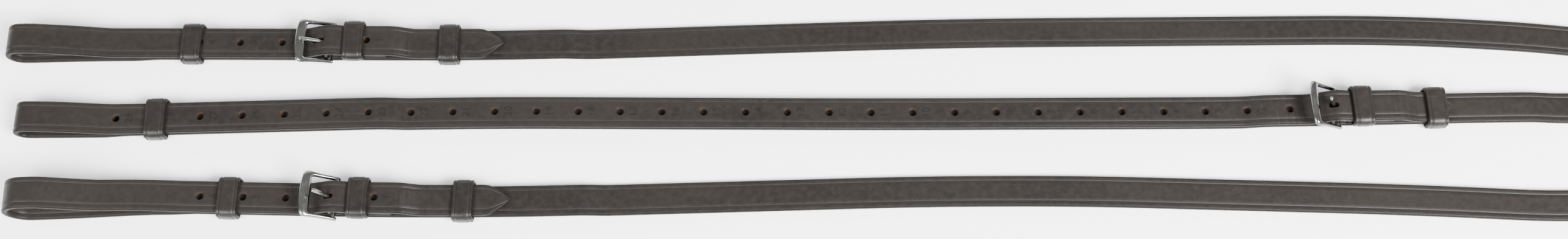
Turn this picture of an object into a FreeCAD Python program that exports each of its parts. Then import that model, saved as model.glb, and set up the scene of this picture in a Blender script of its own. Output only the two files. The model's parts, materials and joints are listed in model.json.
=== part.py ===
import FreeCAD, Part
import math
import os
from FreeCAD import Placement, Rotation, Vector

# Leather triangle reins laid out flat: two side straps and one long centre strap.
# Each strap is doubled back through its own buckle into a girth loop at the left
# end, and all three are sewn together at the fork at the right end.
# X runs along the straps, Y across them, Z up; the reins lie on Z = 0.

doc = FreeCAD.newDocument("LeatherReins")
sheet = doc.addObject("Spreadsheet::Sheet", "Sizes")

SIZES = [
    ("strap_width", 19.0),
    ("strap_thickness", 3.2),
    ("layer_gap", 0.2),            # between two layers of one strap lying on each other
    ("body_clearance", 0.3),       # between a sliding keeper and the leather inside it
    ("side_clearance", 0.8),       # between a keeper's side and the strap's edge
    ("hole_pitch", 25.2),
    ("hole_diameter", 4.4),
    ("point_length", 14.0),        # the pointed end of each billet
    ("keeper_length", 12.2),       # along the strap
    ("keeper_wall", 2.0),
    ("keeper_end", 1.0),           # the skived keeper ends sewn between the chape's legs
    ("keeper_corner", 3.0),
    ("chape_width", 18.0),
    ("chape_thickness", 1.8),
    ("chape_length", 34.0),        # from the heel bar to its sewn end
    ("chape_slot", 5.0),
    ("bar_diameter", 3.0),         # heel bar of the buckle
    ("bar_play", 0.05),            # running fit of the heel bar
    ("frame_reach", 21.5),         # heel bar to the outside of the front bar
    ("front_bar", 6.5),
    ("frame_height", 3.0),
    ("arm_width", 2.4),
    ("frame_gap", 1.6),            # between the frame's arm and the strap's edge
    ("frame_bow", 1.6),
    ("tongue_diameter", 2.6),
    ("tongue_length", 19.5),
    ("eye_wall", 1.2),
    ("eye_width", 3.6),
    ("tongue_play", 0.3),
    ("stitch_length", 2.6),
    ("stitch_pitch", 3.4),
    ("stitch_diameter", 0.6),
    ("stitch_inset", 2.6),         # from the strap's edge
    ("tie_width", 16.0),
    ("tie_wall", 1.2),
    ("fold_gap", 0.3),             # between the layers of a folded hank
    ("hank_start", 36.0),          # from the bend where the strap turns to the fork
    ("hank_run", 150.0),
    ("fork_overlap", 55.0),
    ("fork_y", -8.0),
    ("frame_flare", 0.7),          # the front bar's ends stand out this far past the arms
    ("profile_spread", 70.0),      # a strap's side view is this wide before its plan is cut
]
for row, (alias, value) in enumerate(SIZES, start=1):
    sheet.set("A%d" % row, alias)
    sheet.set("B%d" % row, str(value))
    sheet.setAlias("B%d" % row, alias)
doc.recompute()


def size(alias):
    return float(sheet.get(alias))


width = size("strap_width")
leather = size("strap_thickness")
half = leather / 2

# Heights of the layers, built up from the surface the reins lie on.
lift = size("keeper_wall") + size("body_clearance")
main_top = lift + leather
floor_middle = half
lifted_middle = lift + half
upper_middle = main_top + size("layer_gap") + half
upper_top = upper_middle + half
keeper_top = upper_top + size("body_clearance") + size("keeper_wall")
bar_radius = size("bar_diameter") / 2
bore_radius = bar_radius + size("bar_play")
leg_top = main_top + size("chape_thickness")
bar_height = leg_top + bore_radius
fold_top = bar_height + bore_radius + size("chape_thickness")
chape_top = leg_top + size("keeper_end") + size("chape_thickness")
billet_middle = chape_top + size("layer_gap") + half
hump_middle = fold_top + size("layer_gap") + half
fixed_keeper_top = billet_middle + half + 2 * size("body_clearance") + size("keeper_wall")

# Distances along a strap, counted from the heel bar of its buckle.
RAMP_START, RAMP_END = -15.5, -1.5       # the billet climbs over the heel bar
CREST_END, SEAT_START = 3.0, 9.0         # and comes down onto the chape
STEP_START = size("chape_length") + 5.0  # and down onto the strap below
STEP_END = STEP_START + 10.0
FIXED_KEEPER = 8.5                       # near edge of the keeper sewn into the chape
CHAPE_CREST, CHAPE_SEAT = 1.4, 8.2       # the chape's upper leg slopes down between these
CHAPE_JOINED = 6.0                       # its legs meet this far before its sewn end
SLOT_END = 6.0                           # the chape's slot for the tongue reaches this far
BEND = 3.5                               # longest tangent run into a bend in the side view
PLAN_BEND = 60.0                         # and into a bend in the plan

# The three straps. Plan points run left to right. Loop is the outside height of the
# girth loop; droop is how much of that height is lost two fifths of the way to where
# its layers meet. From mouth on they are lifted. Bar is the buckle's heel bar. Hole
# places are counted from the bar; the second keeper stands keeper_gap past the step
# down from the chape, and the billet's point lies point_gap past that keeper.
STRAPS = {
    "top": {
        "plan": [(2, 45.6), (60, 47.2), (300, 46.4), (575, 55.8), (850, 58.2), (960, 51.6)],
        "loop": 19.0, "droop": 0.36, "meet": 64.0, "mouth": 92.0, "bar": 198.6,
        "holes_before": 3, "hole_before_bar": 30.0, "hole_after_bar": 22.3,
        "keeper_gap": 16.7, "keeper_travel": (-8, 50), "point_gap": 26.8,
        "runner": 107.6, "runner_travel": (-12, 52),
        "tilt": 12.0, "lean": None, "swing": (0, 8), "tongue_swing": (0, 8),
        "hank": True, "fork_layer": 2,
    },
    "centre": {
        "plan": [(13, -3.0), (75, -2.6), (280, 3.2), (530, 2.0), (760, 3.0), (900, 6.2), (960, 6.8)],
        "loop": 15.0, "droop": 0.25, "meet": 70.0, "mouth": 80.0, "bar": 806.5,
        "holes_before": 29, "hole_before_bar": 27.4, "hole_after_bar": None,
        "keeper_gap": 5.5, "keeper_travel": (-1, 40), "point_gap": 4.3,
        "runner": 91.3, "runner_travel": (-3, 115),
        "tilt": 34.0, "lean": 66.0, "swing": (-20, 6), "tongue_swing": (-6, 10),
        "hank": False, "fork_layer": 1,
    },
    "bottom": {
        "plan": [(17, -55.0), (55, -53.6), (105, -50.8), (240, -53.7), (318, -53.4),
                 (560, -46.3), (650, -46.0), (850, -51.6), (960, -57.0)],
        "loop": 27.0, "droop": 0.6, "meet": 118.0, "mouth": 128.0, "bar": 209.5,
        "holes_before": 3, "hole_before_bar": 29.1, "hole_after_bar": 24.0,
        "keeper_gap": 20.5, "keeper_travel": (-12, 50), "point_gap": 21.0,
        "runner": 140.3, "runner_travel": (-6, 34),
        "tilt": 34.0, "lean": 62.0, "swing": (-20, 6), "tongue_swing": (-6, 10),
        "hank": True, "fork_layer": 0,
    },
}
LIFT_RUN = 14.0        # a strap takes this length to rise off the table
BEFORE_BUCKLE = 41.5   # the centre strap is lifted from here, ahead of its heel bar
HANK_RISE = (24.0, 6.0)    # a hank's lowest layer rises between these, ahead of its folds
AFTER_HANK = 7.9           # a side strap runs straight this far past its hank
FORK_FALL = 30.0           # and comes down onto the fork over this length
FORK_RISE = 20.0           # the centre strap rises over this length
TAIL_OVERLAP = 8.0         # the stored length is drawn from this far inside the strap
NOSE = 0.8                 # half width of the billet's blunt tip
INNER_CORNER = 0.6         # inside corner of a keeper
FRAME_HEEL = 0.3           # the arms reach this far past the heel bar
FRAME_SHOULDER = 4.0       # and widen into the front bar over this length


def work_out_places(data):
    """Adds the places along a strap that follow from its bar and the shared sizes."""
    data["keeper"] = data["bar"] + STEP_END + data["keeper_gap"]
    keeper_end = data["keeper"] + size("keeper_length")
    data["tip"] = keeper_end + data["point_gap"]
    data["holes"] = [data["bar"] - data["hole_before_bar"] - number * size("hole_pitch")
                     for number in range(data["holes_before"])]
    if data["hole_after_bar"]:
        data["holes"].append(data["bar"] + data["hole_after_bar"])
    runner_end = data["runner"] + data["runner_travel"][1] + size("keeper_length")
    end = keeper_end + data["keeper_travel"][1] + LIFT_RUN
    if data["bar"] - runner_end > 10 * BEFORE_BUCKLE:
        data["lifted"] = [(data["mouth"], runner_end + LIFT_RUN), (data["bar"] - BEFORE_BUCKLE, end)]
    else:
        data["lifted"] = [(data["mouth"], end)]


for strap_data in STRAPS.values():
    work_out_places(strap_data)


def bends(points, largest):
    """Corners of a route with a tangent arc at each: (point, in, out, centre, radius)."""
    corners = []
    for before, here, after in zip(points, points[1:], points[2:]):
        p, q, r = Vector(*before[:2]), Vector(*here[:2]), Vector(*after[:2])
        back, ahead = (p - q), (r - q)
        shorter = min(back.Length, ahead.Length)
        back.normalize()
        ahead.normalize()
        turn = math.pi - back.getAngle(ahead)
        if len(here) > 2:
            radius = here[2]
            run = radius * math.tan(turn / 2)
        else:
            run = min(largest, 0.45 * shorter)
            radius = run / math.tan(turn / 2)
        inward = (back + ahead).normalize()
        centre = q + inward * (radius / math.cos(turn / 2))
        corners.append((q, q + back * run, q + ahead * run, centre, radius))
    return corners


def edge_along(corners, start, end, side, wide):
    """Lines and arcs of one edge of a band whose middle line turns at the corners."""
    heading = (corners[0][0] - start).normalize()
    last = start + Vector(-heading.y, heading.x) * side * wide / 2
    edges = []
    for corner, into, out, centre, radius in corners:
        reach = radius + sign(centre, into, corner, side) * wide / 2
        begin, middle, finish = [centre + (spot - centre).normalize() * reach
                                 for spot in (into, corner, out)]
        if (begin - last).Length > 1e-4:
            edges.append(Part.LineSegment(last, begin))
        edges.append(Part.Arc(begin, middle, finish))
        last = finish
    heading = (end - corners[-1][0]).normalize()
    edges.append(Part.LineSegment(last, end + Vector(-heading.y, heading.x) * side * wide / 2))
    return edges


def ribbon(points, thickness):
    """Closed outline of a band of even thickness whose middle follows a route."""
    corners = bends(points, BEND)
    start, end = Vector(*points[0][:2]), Vector(*points[-1][:2])
    left, right = [edge_along(corners, start, end, side, thickness) for side in (1, -1)]
    closing = [Part.LineSegment(left[-1].EndPoint, right[-1].EndPoint),
               Part.LineSegment(right[0].StartPoint, left[0].StartPoint)]
    return left + closing + right


def sign(centre, into, corner, side):
    """+1 where the side asked for is the outer side of the bend, else -1."""
    heading = corner - into
    to_left = Vector(-heading.y, heading.x)
    inner_is_left = to_left.dot(centre - into) > 0
    return -1 if (side > 0) == inner_is_left else 1


def station(strap, x):
    """Plan point of the strap's middle line and its heading, in degrees, at a distance x."""
    points = STRAPS[strap]["plan"]
    if x <= points[0][0]:
        x = points[0][0]
    pieces = bends(points, PLAN_BEND)
    for index, (start, end) in enumerate(zip(points, points[1:])):
        if x <= end[0] or index == len(points) - 2:
            slope = (end[1] - start[1]) / (end[0] - start[0])
            y = start[1] + slope * (x - start[0])
            break
    heading = math.atan(slope)
    for corner, into, out, centre, radius in pieces:
        if into.x < x < out.x:
            above = 1 if centre.y < corner.y else -1
            drop = math.sqrt(max(radius ** 2 - (x - centre.x) ** 2, 0))
            y = centre.y + above * drop
            heading = math.atan2(-(x - centre.x) * above, drop)
            break
    return Vector(x, y, 0), math.degrees(heading)


def origin_plane(body, role):
    for feature in body.Origin.OriginFeatures:
        if feature.Role == role:
            return feature


PIECES = []


def new_body(label):
    body = doc.addObject("PartDesign::Body", label)
    body.Label = label
    PIECES.append(body)
    return body


def sketch_on(body, role, name, geometry, offset=None):
    sketch = body.newObject("Sketcher::SketchObject", name)
    sketch.AttachmentSupport = [(origin_plane(body, role), "")]
    sketch.MapMode = "FlatFace"
    if offset is not None:
        sketch.AttachmentOffset = offset
    sketch.addGeometry(geometry, False)
    return sketch


def pad(body, sketch, name, expression, both_sides=True, reverse=False):
    feature = body.newObject("PartDesign::Pad", name)
    feature.Profile = sketch
    feature.SideType = "Symmetric" if both_sides else "One side"
    feature.Reversed = reverse
    feature.setExpression("Length", expression)
    body.Tip = feature
    return feature


def pocket(body, sketch, name, expression=None, both_sides=False, reverse=False):
    feature = body.newObject("PartDesign::Pocket", name)
    feature.Profile = sketch
    feature.SideType = "Symmetric" if both_sides else "One side"
    feature.Reversed = reverse
    if expression is None:
        feature.Type = "ThroughAll"
    else:
        feature.setExpression("Length", expression)
    body.Tip = feature
    return feature


def loop_of(points):
    """Closed run of straight lines through the points."""
    vectors = [Vector(*point) for point in points]
    return [Part.LineSegment(a, b) for a, b in zip(vectors, vectors[1:] + vectors[:1])]


def circle(x, y, radius):
    return Part.Circle(Vector(x, y, 0), Vector(0, 0, 1), radius)


ABOVE = 45.0      # sketches that cut downwards lie this high, clear of every layer


def strap_profile(data):
    """Side view of a strap, from the billet's point round the girth loop to the right."""
    bar, tip = data["bar"], data["tip"]
    fold = (data["loop"] - leather) / 2
    left = data["plan"][0][0] + half
    top = data["loop"] - half
    route = [(tip, upper_middle), (bar + STEP_END, upper_middle), (bar + STEP_START, billet_middle),
             (bar + SEAT_START, billet_middle), (bar + CREST_END, hump_middle),
             (bar + RAMP_END, hump_middle), (bar + RAMP_START, upper_middle)]
    low = floor_middle + leather + size("layer_gap")
    dips = list(zip(data["lifted"], data["lifted"][1:]))
    for (before, after) in reversed(dips):
        route += [(after[0], upper_middle), (after[0] - LIFT_RUN, low),
                  (before[1] + LIFT_RUN, low), (before[1], upper_middle)]
    crown = left + 1.7 * fold
    sag = (crown + 0.4 * (data["meet"] - crown), top - data["droop"] * (top - upper_middle))
    route += [(data["meet"], upper_middle), sag, (crown, top), (left, top, fold),
              (left, floor_middle, fold)]
    for start, end in data["lifted"]:
        route += [(start - LIFT_RUN, floor_middle), (start, lifted_middle),
                  (end, lifted_middle), (end + LIFT_RUN, floor_middle)]
    route.append((data["plan"][-1][0], floor_middle))
    return route


def strip_sides(data):
    """The two areas of the plan outside the strap's edges."""
    points = data["plan"]
    outline = [(points[0][0] - 5, points[0][1])] + points[1:-1] + [(points[-1][0] + 5, points[-1][1])]
    corners = bends(outline, PLAN_BEND)
    mean = sum(point[1] for point in points) / len(points)
    areas = []
    for side in (1, -1):
        edge = edge_along(corners, Vector(*outline[0]), Vector(*outline[-1]), side, width)
        first, last = edge[0].StartPoint, edge[-1].EndPoint
        far = side * size("profile_spread") + mean
        beyond, behind = Vector(last.x, far, 0), Vector(first.x, far, 0)
        areas.append(edge + [Part.LineSegment(last, beyond), Part.LineSegment(beyond, behind),
                             Part.LineSegment(behind, first)])
    return areas


def point_cuts(strap, data):
    """The two corners cut away to leave the billet's pointed end."""
    centre, heading = station(strap, data["tip"])
    turn = Rotation(Vector(0, 0, 1), heading)
    long, wide = size("point_length"), width / 2
    cuts = []
    for side in (1, -1):
        middle = Vector(-0.42 * long, side * 0.60 * wide, 0)
        outside = [Vector(0, side * NOSE, 0), Vector(4, side * NOSE, 0), Vector(4, side * (wide + 4), 0),
                   Vector(-long, side * (wide + 4), 0), Vector(-long, side * wide, 0)]
        place = [centre + turn.multVec(v) for v in outside]
        cuts.append(Part.Arc(place[-1], centre + turn.multVec(middle), place[0]))
        cuts += [Part.LineSegment(a, b) for a, b in zip(place, place[1:])]
    return cuts


def tongue_angle(data):
    """Angle of the tongue above the strap: lying on the front bar unless it stands up."""
    if data["lean"] is not None:
        return data["lean"]
    rise = size("frame_height") / 2 + size("tongue_diameter") / 2 + 0.35
    return data["tilt"] + math.degrees(math.asin(rise / (size("frame_reach") - size("front_bar") / 2)))


def tongue_slot(data):
    """Near and far end, from the heel bar, of the hole the tongue has pulled long."""
    slope = (hump_middle - upper_middle) / (RAMP_END - RAMP_START)
    rise = hump_middle - bar_height - slope * RAMP_END
    band = half * math.hypot(1, slope)
    frame_swing = data["swing"] if data["lean"] is None else (0, 0)
    ends = []
    for first, second in zip(frame_swing, data["tongue_swing"]):
        angle = math.radians(tongue_angle(data) + first + second)
        shank = size("tongue_diameter") / 2 / math.cos(angle)
        for side in (-1, 1):
            ends.append((side * (band + shank) - rise) / (slope + math.tan(angle)))
    return min(ends) - size("tongue_play"), max(ends) + size("tongue_play")


def make_strap(strap, data):
    """One continuous strap: billet, girth loop and main run, then its stored length."""
    body = new_body(strap + "_strap")
    y_mean = sum(point[1] for point in data["plan"]) / len(data["plan"])
    profile = sketch_on(body, "XZ_Plane", strap + "_side_view", ribbon(strap_profile(data), leather),
                        Placement(Vector(0, 0, -y_mean), Rotation()))
    pad(body, profile, strap + "_band", "Sizes.profile_spread")
    above = Placement(Vector(0, 0, ABOVE), Rotation())
    for number, area in enumerate(strip_sides(data)):
        edge = sketch_on(body, "XY_Plane", "%s_edge_%d" % (strap, number), area, above)
        pocket(body, edge, "%s_edge_cut_%d" % (strap, number))
    cut_to_upper = ABOVE - (main_top + size("layer_gap") / 2)
    point = sketch_on(body, "XY_Plane", strap + "_point", point_cuts(strap, data), above)
    pocket(body, point, strap + "_point_cut", "%g" % cut_to_upper)
    low = ABOVE - (leather + size("layer_gap") / 2)
    groups = {cut_to_upper: [], low: []}
    for x in data["holes"]:
        lifted = any(start <= x <= end for start, end in data["lifted"])
        groups[cut_to_upper if lifted else low].append(x)
    for number, (depth, places) in enumerate(groups.items()):
        if places:
            holes = [circle(station(strap, x)[0].x, station(strap, x)[0].y, size("hole_diameter") / 2)
                     for x in places]
            punched = sketch_on(body, "XY_Plane", "%s_holes_%d" % (strap, number), holes, above)
            pocket(body, punched, "%s_punch_%d" % (strap, number), "%g" % depth)
    near, far = tongue_slot(data)
    centre, heading = station(strap, data["bar"])
    radius = size("tongue_diameter") / 2 + size("tongue_play")
    a, b = near + radius, far - radius
    ring = [Part.LineSegment(Vector(a, radius, 0), Vector(b, radius, 0)),
            Part.Arc(Vector(b, radius, 0), Vector(b + radius, 0, 0), Vector(b, -radius, 0)),
            Part.LineSegment(Vector(b, -radius, 0), Vector(a, -radius, 0)),
            Part.Arc(Vector(a, -radius, 0), Vector(a - radius, 0, 0), Vector(a, radius, 0))]
    slot = sketch_on(body, "XY_Plane", strap + "_tongue_hole", ring,
                     Placement(Vector(centre.x, centre.y, ABOVE), Rotation(Vector(0, 0, 1), heading)))
    pocket(body, slot, strap + "_tongue_punch", "%g" % cut_to_upper)
    return body


def spacing(first, second):
    """Sideways distance between two straps where their stored lengths start."""
    return STRAPS[first]["plan"][-1][1] - STRAPS[second]["plan"][-1][1]


def fork_run():
    """From there to the fork, so that the hanks end before the straps come together."""
    hank_end = size("hank_start") + size("hank_run") + AFTER_HANK
    return hank_end / (1 - (width + 0.5) / spacing("top", "centre"))


def heading_to_fork(data):
    """Where the stored length starts, its direction and its distance to the fork."""
    start = Vector(*data["plan"][-1], 0)
    fork = Vector(start.x + fork_run(), size("fork_y"), 0)
    away = fork - start
    return start, math.degrees(math.atan2(away.y, away.x)), away.Length


def settle(data, distance):
    """Where a strap has come to its own layer of the fork."""
    if data["fork_layer"] == 2:
        return distance - size("fork_overlap") / 2 - FORK_FALL
    return distance * (1 - (width + 1) / spacing("centre", "bottom"))


def hank_levels():
    """Middle heights of the five layers of a folded hank, lowest first."""
    first = size("tie_wall") + size("body_clearance") + half
    return [first + layer * (leather + size("fold_gap")) for layer in range(5)]


def tail_route(data):
    """Side view of the length stored at the right, ending in the fork."""
    start, heading, distance = heading_to_fork(data)
    end = distance + size("fork_overlap") / 2
    seat = data["fork_layer"] * leather + half
    if not data["hank"]:
        raised = settle(data, distance)
        return [(-TAIL_OVERLAP, floor_middle), (raised - FORK_RISE, floor_middle),
                (raised, seat), (end, seat)]
    levels = hank_levels()
    near = size("hank_start")
    far = near + size("hank_run")
    fold = (levels[1] - levels[0]) / 2
    route = [(-TAIL_OVERLAP, floor_middle), (near - HANK_RISE[0], floor_middle),
             (near - HANK_RISE[1], levels[0])]
    for number, (low, high) in enumerate(zip(levels, levels[1:])):
        turn = far if number % 2 == 0 else near
        route += [(turn, low, fold), (turn, high, fold)]
    route += [(far + AFTER_HANK, levels[-1]), (settle(data, distance), seat), (end, seat)]
    return route


def add_tail(body, strap, data):
    start, heading, distance = heading_to_fork(data)
    place = Placement(Vector(start.x, 0, -start.y), Rotation(Vector(0, 1, 0), heading))
    view = sketch_on(body, "XZ_Plane", strap + "_tail_view", ribbon(tail_route(data), leather), place)
    pad(body, view, strap + "_tail", "Sizes.strap_width")


def place_along(body, strap, x, height=0.0, raise_by=0.0):
    """Stands a piece drawn about its own origin on its strap, at a distance x."""
    spot, heading = station(strap, x)
    turn = Rotation(Vector(0, 0, 1), heading).multiply(Rotation(Vector(0, 1, 0), raise_by))
    body.Placement = Placement(spot + Vector(0, 0, height), turn)


def rounded(half_wide, low, high, radius):
    """Closed rectangle with round corners, its middle on the strap's middle line."""
    k = radius * (1 - math.sqrt(0.5))
    w = half_wide
    return [
        Part.LineSegment(Vector(-w + radius, low, 0), Vector(w - radius, low, 0)),
        Part.Arc(Vector(w - radius, low, 0), Vector(w - k, low + k, 0), Vector(w, low + radius, 0)),
        Part.LineSegment(Vector(w, low + radius, 0), Vector(w, high - radius, 0)),
        Part.Arc(Vector(w, high - radius, 0), Vector(w - k, high - k, 0), Vector(w - radius, high, 0)),
        Part.LineSegment(Vector(w - radius, high, 0), Vector(-w + radius, high, 0)),
        Part.Arc(Vector(-w + radius, high, 0), Vector(-w + k, high - k, 0), Vector(-w, high - radius, 0)),
        Part.LineSegment(Vector(-w, high - radius, 0), Vector(-w, low + radius, 0)),
        Part.Arc(Vector(-w, low + radius, 0), Vector(-w + k, low + k, 0), Vector(-w + radius, low, 0)),
    ]


def make_band(label, low, high, floor_wall, wall, play, length_expression, both_sides=False):
    """A closed leather band round a strap: a keeper, a runner or a tie."""
    body = new_body(label)
    inner = width / 2 + play
    outline = rounded(inner + wall, low, high, min(size("keeper_corner"), 2.4 * wall))
    inside = rounded(inner, low + floor_wall, high - wall, INNER_CORNER)
    pad(body, sketch_on(body, "YZ_Plane", label + "_section", outline + inside), label + "_length",
        length_expression, both_sides)
    return body


def make_chape(strap, data):
    """The strip folded round the heel bar and sewn on top of the strap."""
    label = strap + "_chape"
    body = new_body(label)
    leg = size("chape_thickness")
    end = size("chape_length")
    outer = bore_radius + leg
    low, high = leg_top, leg_top + size("keeper_end")
    outside = [
        Part.LineSegment(Vector(0, main_top, 0), Vector(end, main_top, 0)),
        Part.LineSegment(Vector(end, main_top, 0), Vector(end, chape_top, 0)),
        Part.LineSegment(Vector(end, chape_top, 0), Vector(CHAPE_SEAT, chape_top, 0)),
        Part.LineSegment(Vector(CHAPE_SEAT, chape_top, 0), Vector(CHAPE_CREST, fold_top, 0)),
        Part.LineSegment(Vector(CHAPE_CREST, fold_top, 0), Vector(0, fold_top, 0)),
        Part.Arc(Vector(0, fold_top, 0), Vector(-outer, bar_height, 0), Vector(0, main_top, 0)),
    ]
    bore_top = bar_height + bore_radius
    inside = [
        Part.LineSegment(Vector(0, low, 0), Vector(end - CHAPE_JOINED, low, 0)),
        Part.LineSegment(Vector(end - CHAPE_JOINED, low, 0), Vector(end - CHAPE_JOINED, high, 0)),
        Part.LineSegment(Vector(end - CHAPE_JOINED, high, 0), Vector(CHAPE_SEAT, high, 0)),
        Part.LineSegment(Vector(CHAPE_SEAT, high, 0), Vector(CHAPE_CREST, bore_top, 0)),
        Part.LineSegment(Vector(CHAPE_CREST, bore_top, 0), Vector(0, bore_top, 0)),
        Part.Arc(Vector(0, bore_top, 0), Vector(-bore_radius, bar_height, 0), Vector(0, low, 0)),
    ]
    view = sketch_on(body, "XZ_Plane", label + "_view", outside + inside)
    pad(body, view, label + "_fold", "Sizes.chape_width")
    slot = size("chape_slot") / 2
    cut = sketch_on(body, "XY_Plane", label + "_slot_shape",
                    loop_of([(-outer - 1, -slot), (SLOT_END, -slot), (SLOT_END, slot), (-outer - 1, slot)]),
                    Placement(Vector(0, 0, ABOVE), Rotation()))
    pocket(body, cut, label + "_slot")
    place_along(body, strap, data["bar"])


def stitch_rows(first, last, offset):
    """Two rows of stitches, as small rectangles in plan."""
    count = int((last - first) / size("stitch_pitch")) + 1
    long, thin = size("stitch_length") / 2, size("stitch_diameter") / 2
    shapes = []
    for row in (-offset, offset):
        for number in range(count):
            x = first + number * size("stitch_pitch")
            shapes += loop_of([(x - long, row - thin), (x + long, row - thin),
                               (x + long, row + thin), (x - long, row + thin)])
    return shapes


def make_chape_stitching(strap, data):
    """Saddle stitches of the chape, where they show under the strap."""
    label = strap + "_chape_stitching"
    body = new_body(label)
    rows = stitch_rows(5.0, size("chape_length") - 2, width / 2 - size("stitch_inset"))
    view = sketch_on(body, "XY_Plane", label + "_rows", rows,
                     Placement(Vector(0, 0, lift), Rotation()))
    pad(body, view, label + "_thread", "Sizes.stitch_diameter * 0.7", False, True)
    place_along(body, strap, data["bar"])


def make_buckle_frame(strap, data):
    """Buckle frame, drawn about the middle of its heel bar."""
    label = strap + "_buckle_frame"
    body = new_body(label)
    reach, bow, bar = size("frame_reach"), size("frame_bow"), size("front_bar")
    inside = width / 2 + size("frame_gap")
    outside = inside + size("arm_width")
    front = outside + size("frame_flare")
    heel = bar_radius + FRAME_HEEL
    inner_front = -reach + bar
    shape = [
        Part.Arc(Vector(-reach + bow, -front, 0), Vector(-reach, 0, 0), Vector(-reach + bow, front, 0)),
        Part.LineSegment(Vector(-reach + bow, front, 0), Vector(inner_front, front, 0)),
        Part.LineSegment(Vector(inner_front, front, 0), Vector(inner_front + FRAME_SHOULDER, outside, 0)),
        Part.LineSegment(Vector(inner_front + FRAME_SHOULDER, outside, 0), Vector(heel, outside, 0)),
        Part.LineSegment(Vector(heel, outside, 0), Vector(heel, inside, 0)),
        Part.LineSegment(Vector(heel, inside, 0), Vector(inner_front, inside, 0)),
        Part.LineSegment(Vector(inner_front, inside, 0), Vector(inner_front, -inside, 0)),
        Part.LineSegment(Vector(inner_front, -inside, 0), Vector(heel, -inside, 0)),
        Part.LineSegment(Vector(heel, -inside, 0), Vector(heel, -outside, 0)),
        Part.LineSegment(Vector(heel, -outside, 0), Vector(inner_front + FRAME_SHOULDER, -outside, 0)),
        Part.LineSegment(Vector(inner_front + FRAME_SHOULDER, -outside, 0), Vector(inner_front, -front, 0)),
        Part.LineSegment(Vector(inner_front, -front, 0), Vector(-reach + bow, -front, 0)),
    ]
    plate = sketch_on(body, "XY_Plane", label + "_outline", shape)
    solid = pad(body, plate, label + "_plate", "Sizes.frame_height")
    doc.recompute()
    arcs = ["Edge%d" % (number + 1) for number, edge in enumerate(solid.Shape.Edges)
            if edge.Curve.TypeId == "Part::GeomCircle"
            or (abs(edge.BoundBox.XMax - inner_front) < 1e-4 and edge.BoundBox.YLength > inside)]
    dome = body.newObject("PartDesign::Fillet", label + "_dome")
    dome.Base = (solid, arcs)
    dome.setExpression("Radius", "Sizes.frame_height * 0.4")
    body.Tip = dome
    rod = sketch_on(body, "XZ_Plane", label + "_heel", [circle(0, 0, bar_radius)])
    pad(body, rod, label + "_heel_bar",
        "Sizes.strap_width + 2 * Sizes.frame_gap + Sizes.arm_width")
    place_along(body, strap, data["bar"], bar_height, data["tilt"])


def make_tongue(strap, data):
    """Buckle tongue, its eye round the heel bar and its shank pointing left."""
    label = strap + "_buckle_tongue"
    body = new_body(label)
    eye = bore_radius + size("eye_wall")
    disc = sketch_on(body, "XZ_Plane", label + "_eye_shape", [circle(0, 0, eye)])
    pad(body, disc, label + "_eye", "Sizes.eye_width")
    shank = sketch_on(body, "YZ_Plane", label + "_shank_shape",
                      [circle(0, 0, size("tongue_diameter") / 2)])
    rod = pad(body, shank, label + "_shank", "Sizes.tongue_length", False, True)
    doc.recompute()
    tip = ["Edge%d" % (number + 1) for number, edge in enumerate(rod.Shape.Edges)
           if abs(edge.BoundBox.XMax + size("tongue_length")) < 1e-4]
    nose = body.newObject("PartDesign::Fillet", label + "_nose")
    nose.Base = (rod, tip)
    nose.setExpression("Radius", "Sizes.tongue_diameter * 0.4")
    body.Tip = nose
    bore = sketch_on(body, "XZ_Plane", label + "_bore_shape", [circle(0, 0, bore_radius)])
    pocket(body, bore, label + "_bore", "Sizes.eye_width * 2", True)
    place_along(body, strap, data["bar"], bar_height, tongue_angle(data))


def make_keepers(strap, data):
    wall, play = size("keeper_wall"), size("side_clearance")
    fixed = make_band(strap + "_fixed_keeper", leg_top, fixed_keeper_top, size("keeper_end"), wall, play,
                      "Sizes.keeper_length")
    place_along(fixed, strap, data["bar"])
    fixed.Placement = fixed.Placement.multiply(Placement(Vector(FIXED_KEEPER, 0, 0), Rotation()))
    for label, key in (("_sliding_keeper", "keeper"), ("_loop_runner", "runner")):
        band = make_band(strap + label, 0, keeper_top, wall, wall, play, "Sizes.keeper_length")
        place_along(band, strap, data[key])


def make_tie(strap, data):
    """Soft band that holds a side strap's folded hank together."""
    start, heading, distance = heading_to_fork(data)
    high = hank_levels()[-1] + half + size("body_clearance") + size("tie_wall")
    tie = make_band(strap + "_hank_tie", 0, high, size("tie_wall"), size("tie_wall"),
                    size("body_clearance"), "Sizes.tie_width", True)
    turn = Rotation(Vector(0, 0, 1), heading)
    middle = size("hank_start") + size("hank_run") / 2
    tie.Placement = Placement(start + turn.multVec(Vector(middle, 0, 0)), turn)


def make_fork_stitching():
    """Saddle stitches through the three strap ends at the fork."""
    body = new_body("fork_stitching")
    end = size("fork_overlap") / 2 - 5
    rows = stitch_rows(-end, end, 5.2)
    view = sketch_on(body, "XY_Plane", "fork_rows", rows)
    pad(body, view, "fork_thread", "Sizes.stitch_diameter * 0.7", False)
    top = STRAPS["top"]
    start, heading, distance = heading_to_fork(top)
    body.Placement = Placement(start + Rotation(Vector(0, 0, 1), heading).multVec(Vector(distance, 0, 0))
                               + Vector(0, 0, 3 * leather), Rotation(Vector(0, 0, 1), heading))


def centre_on_origin():
    """Moves every piece so that the whole stands centred over the origin."""
    box = FreeCAD.BoundBox()
    for body in PIECES:
        box.add(body.Shape.BoundBox)
    shift = Vector(-(box.XMin + box.XMax) / 2, -(box.YMin + box.YMax) / 2, 0)
    for body in PIECES:
        body.Placement = Placement(shift, Rotation()).multiply(body.Placement)
    doc.recompute()
    return shift


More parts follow.
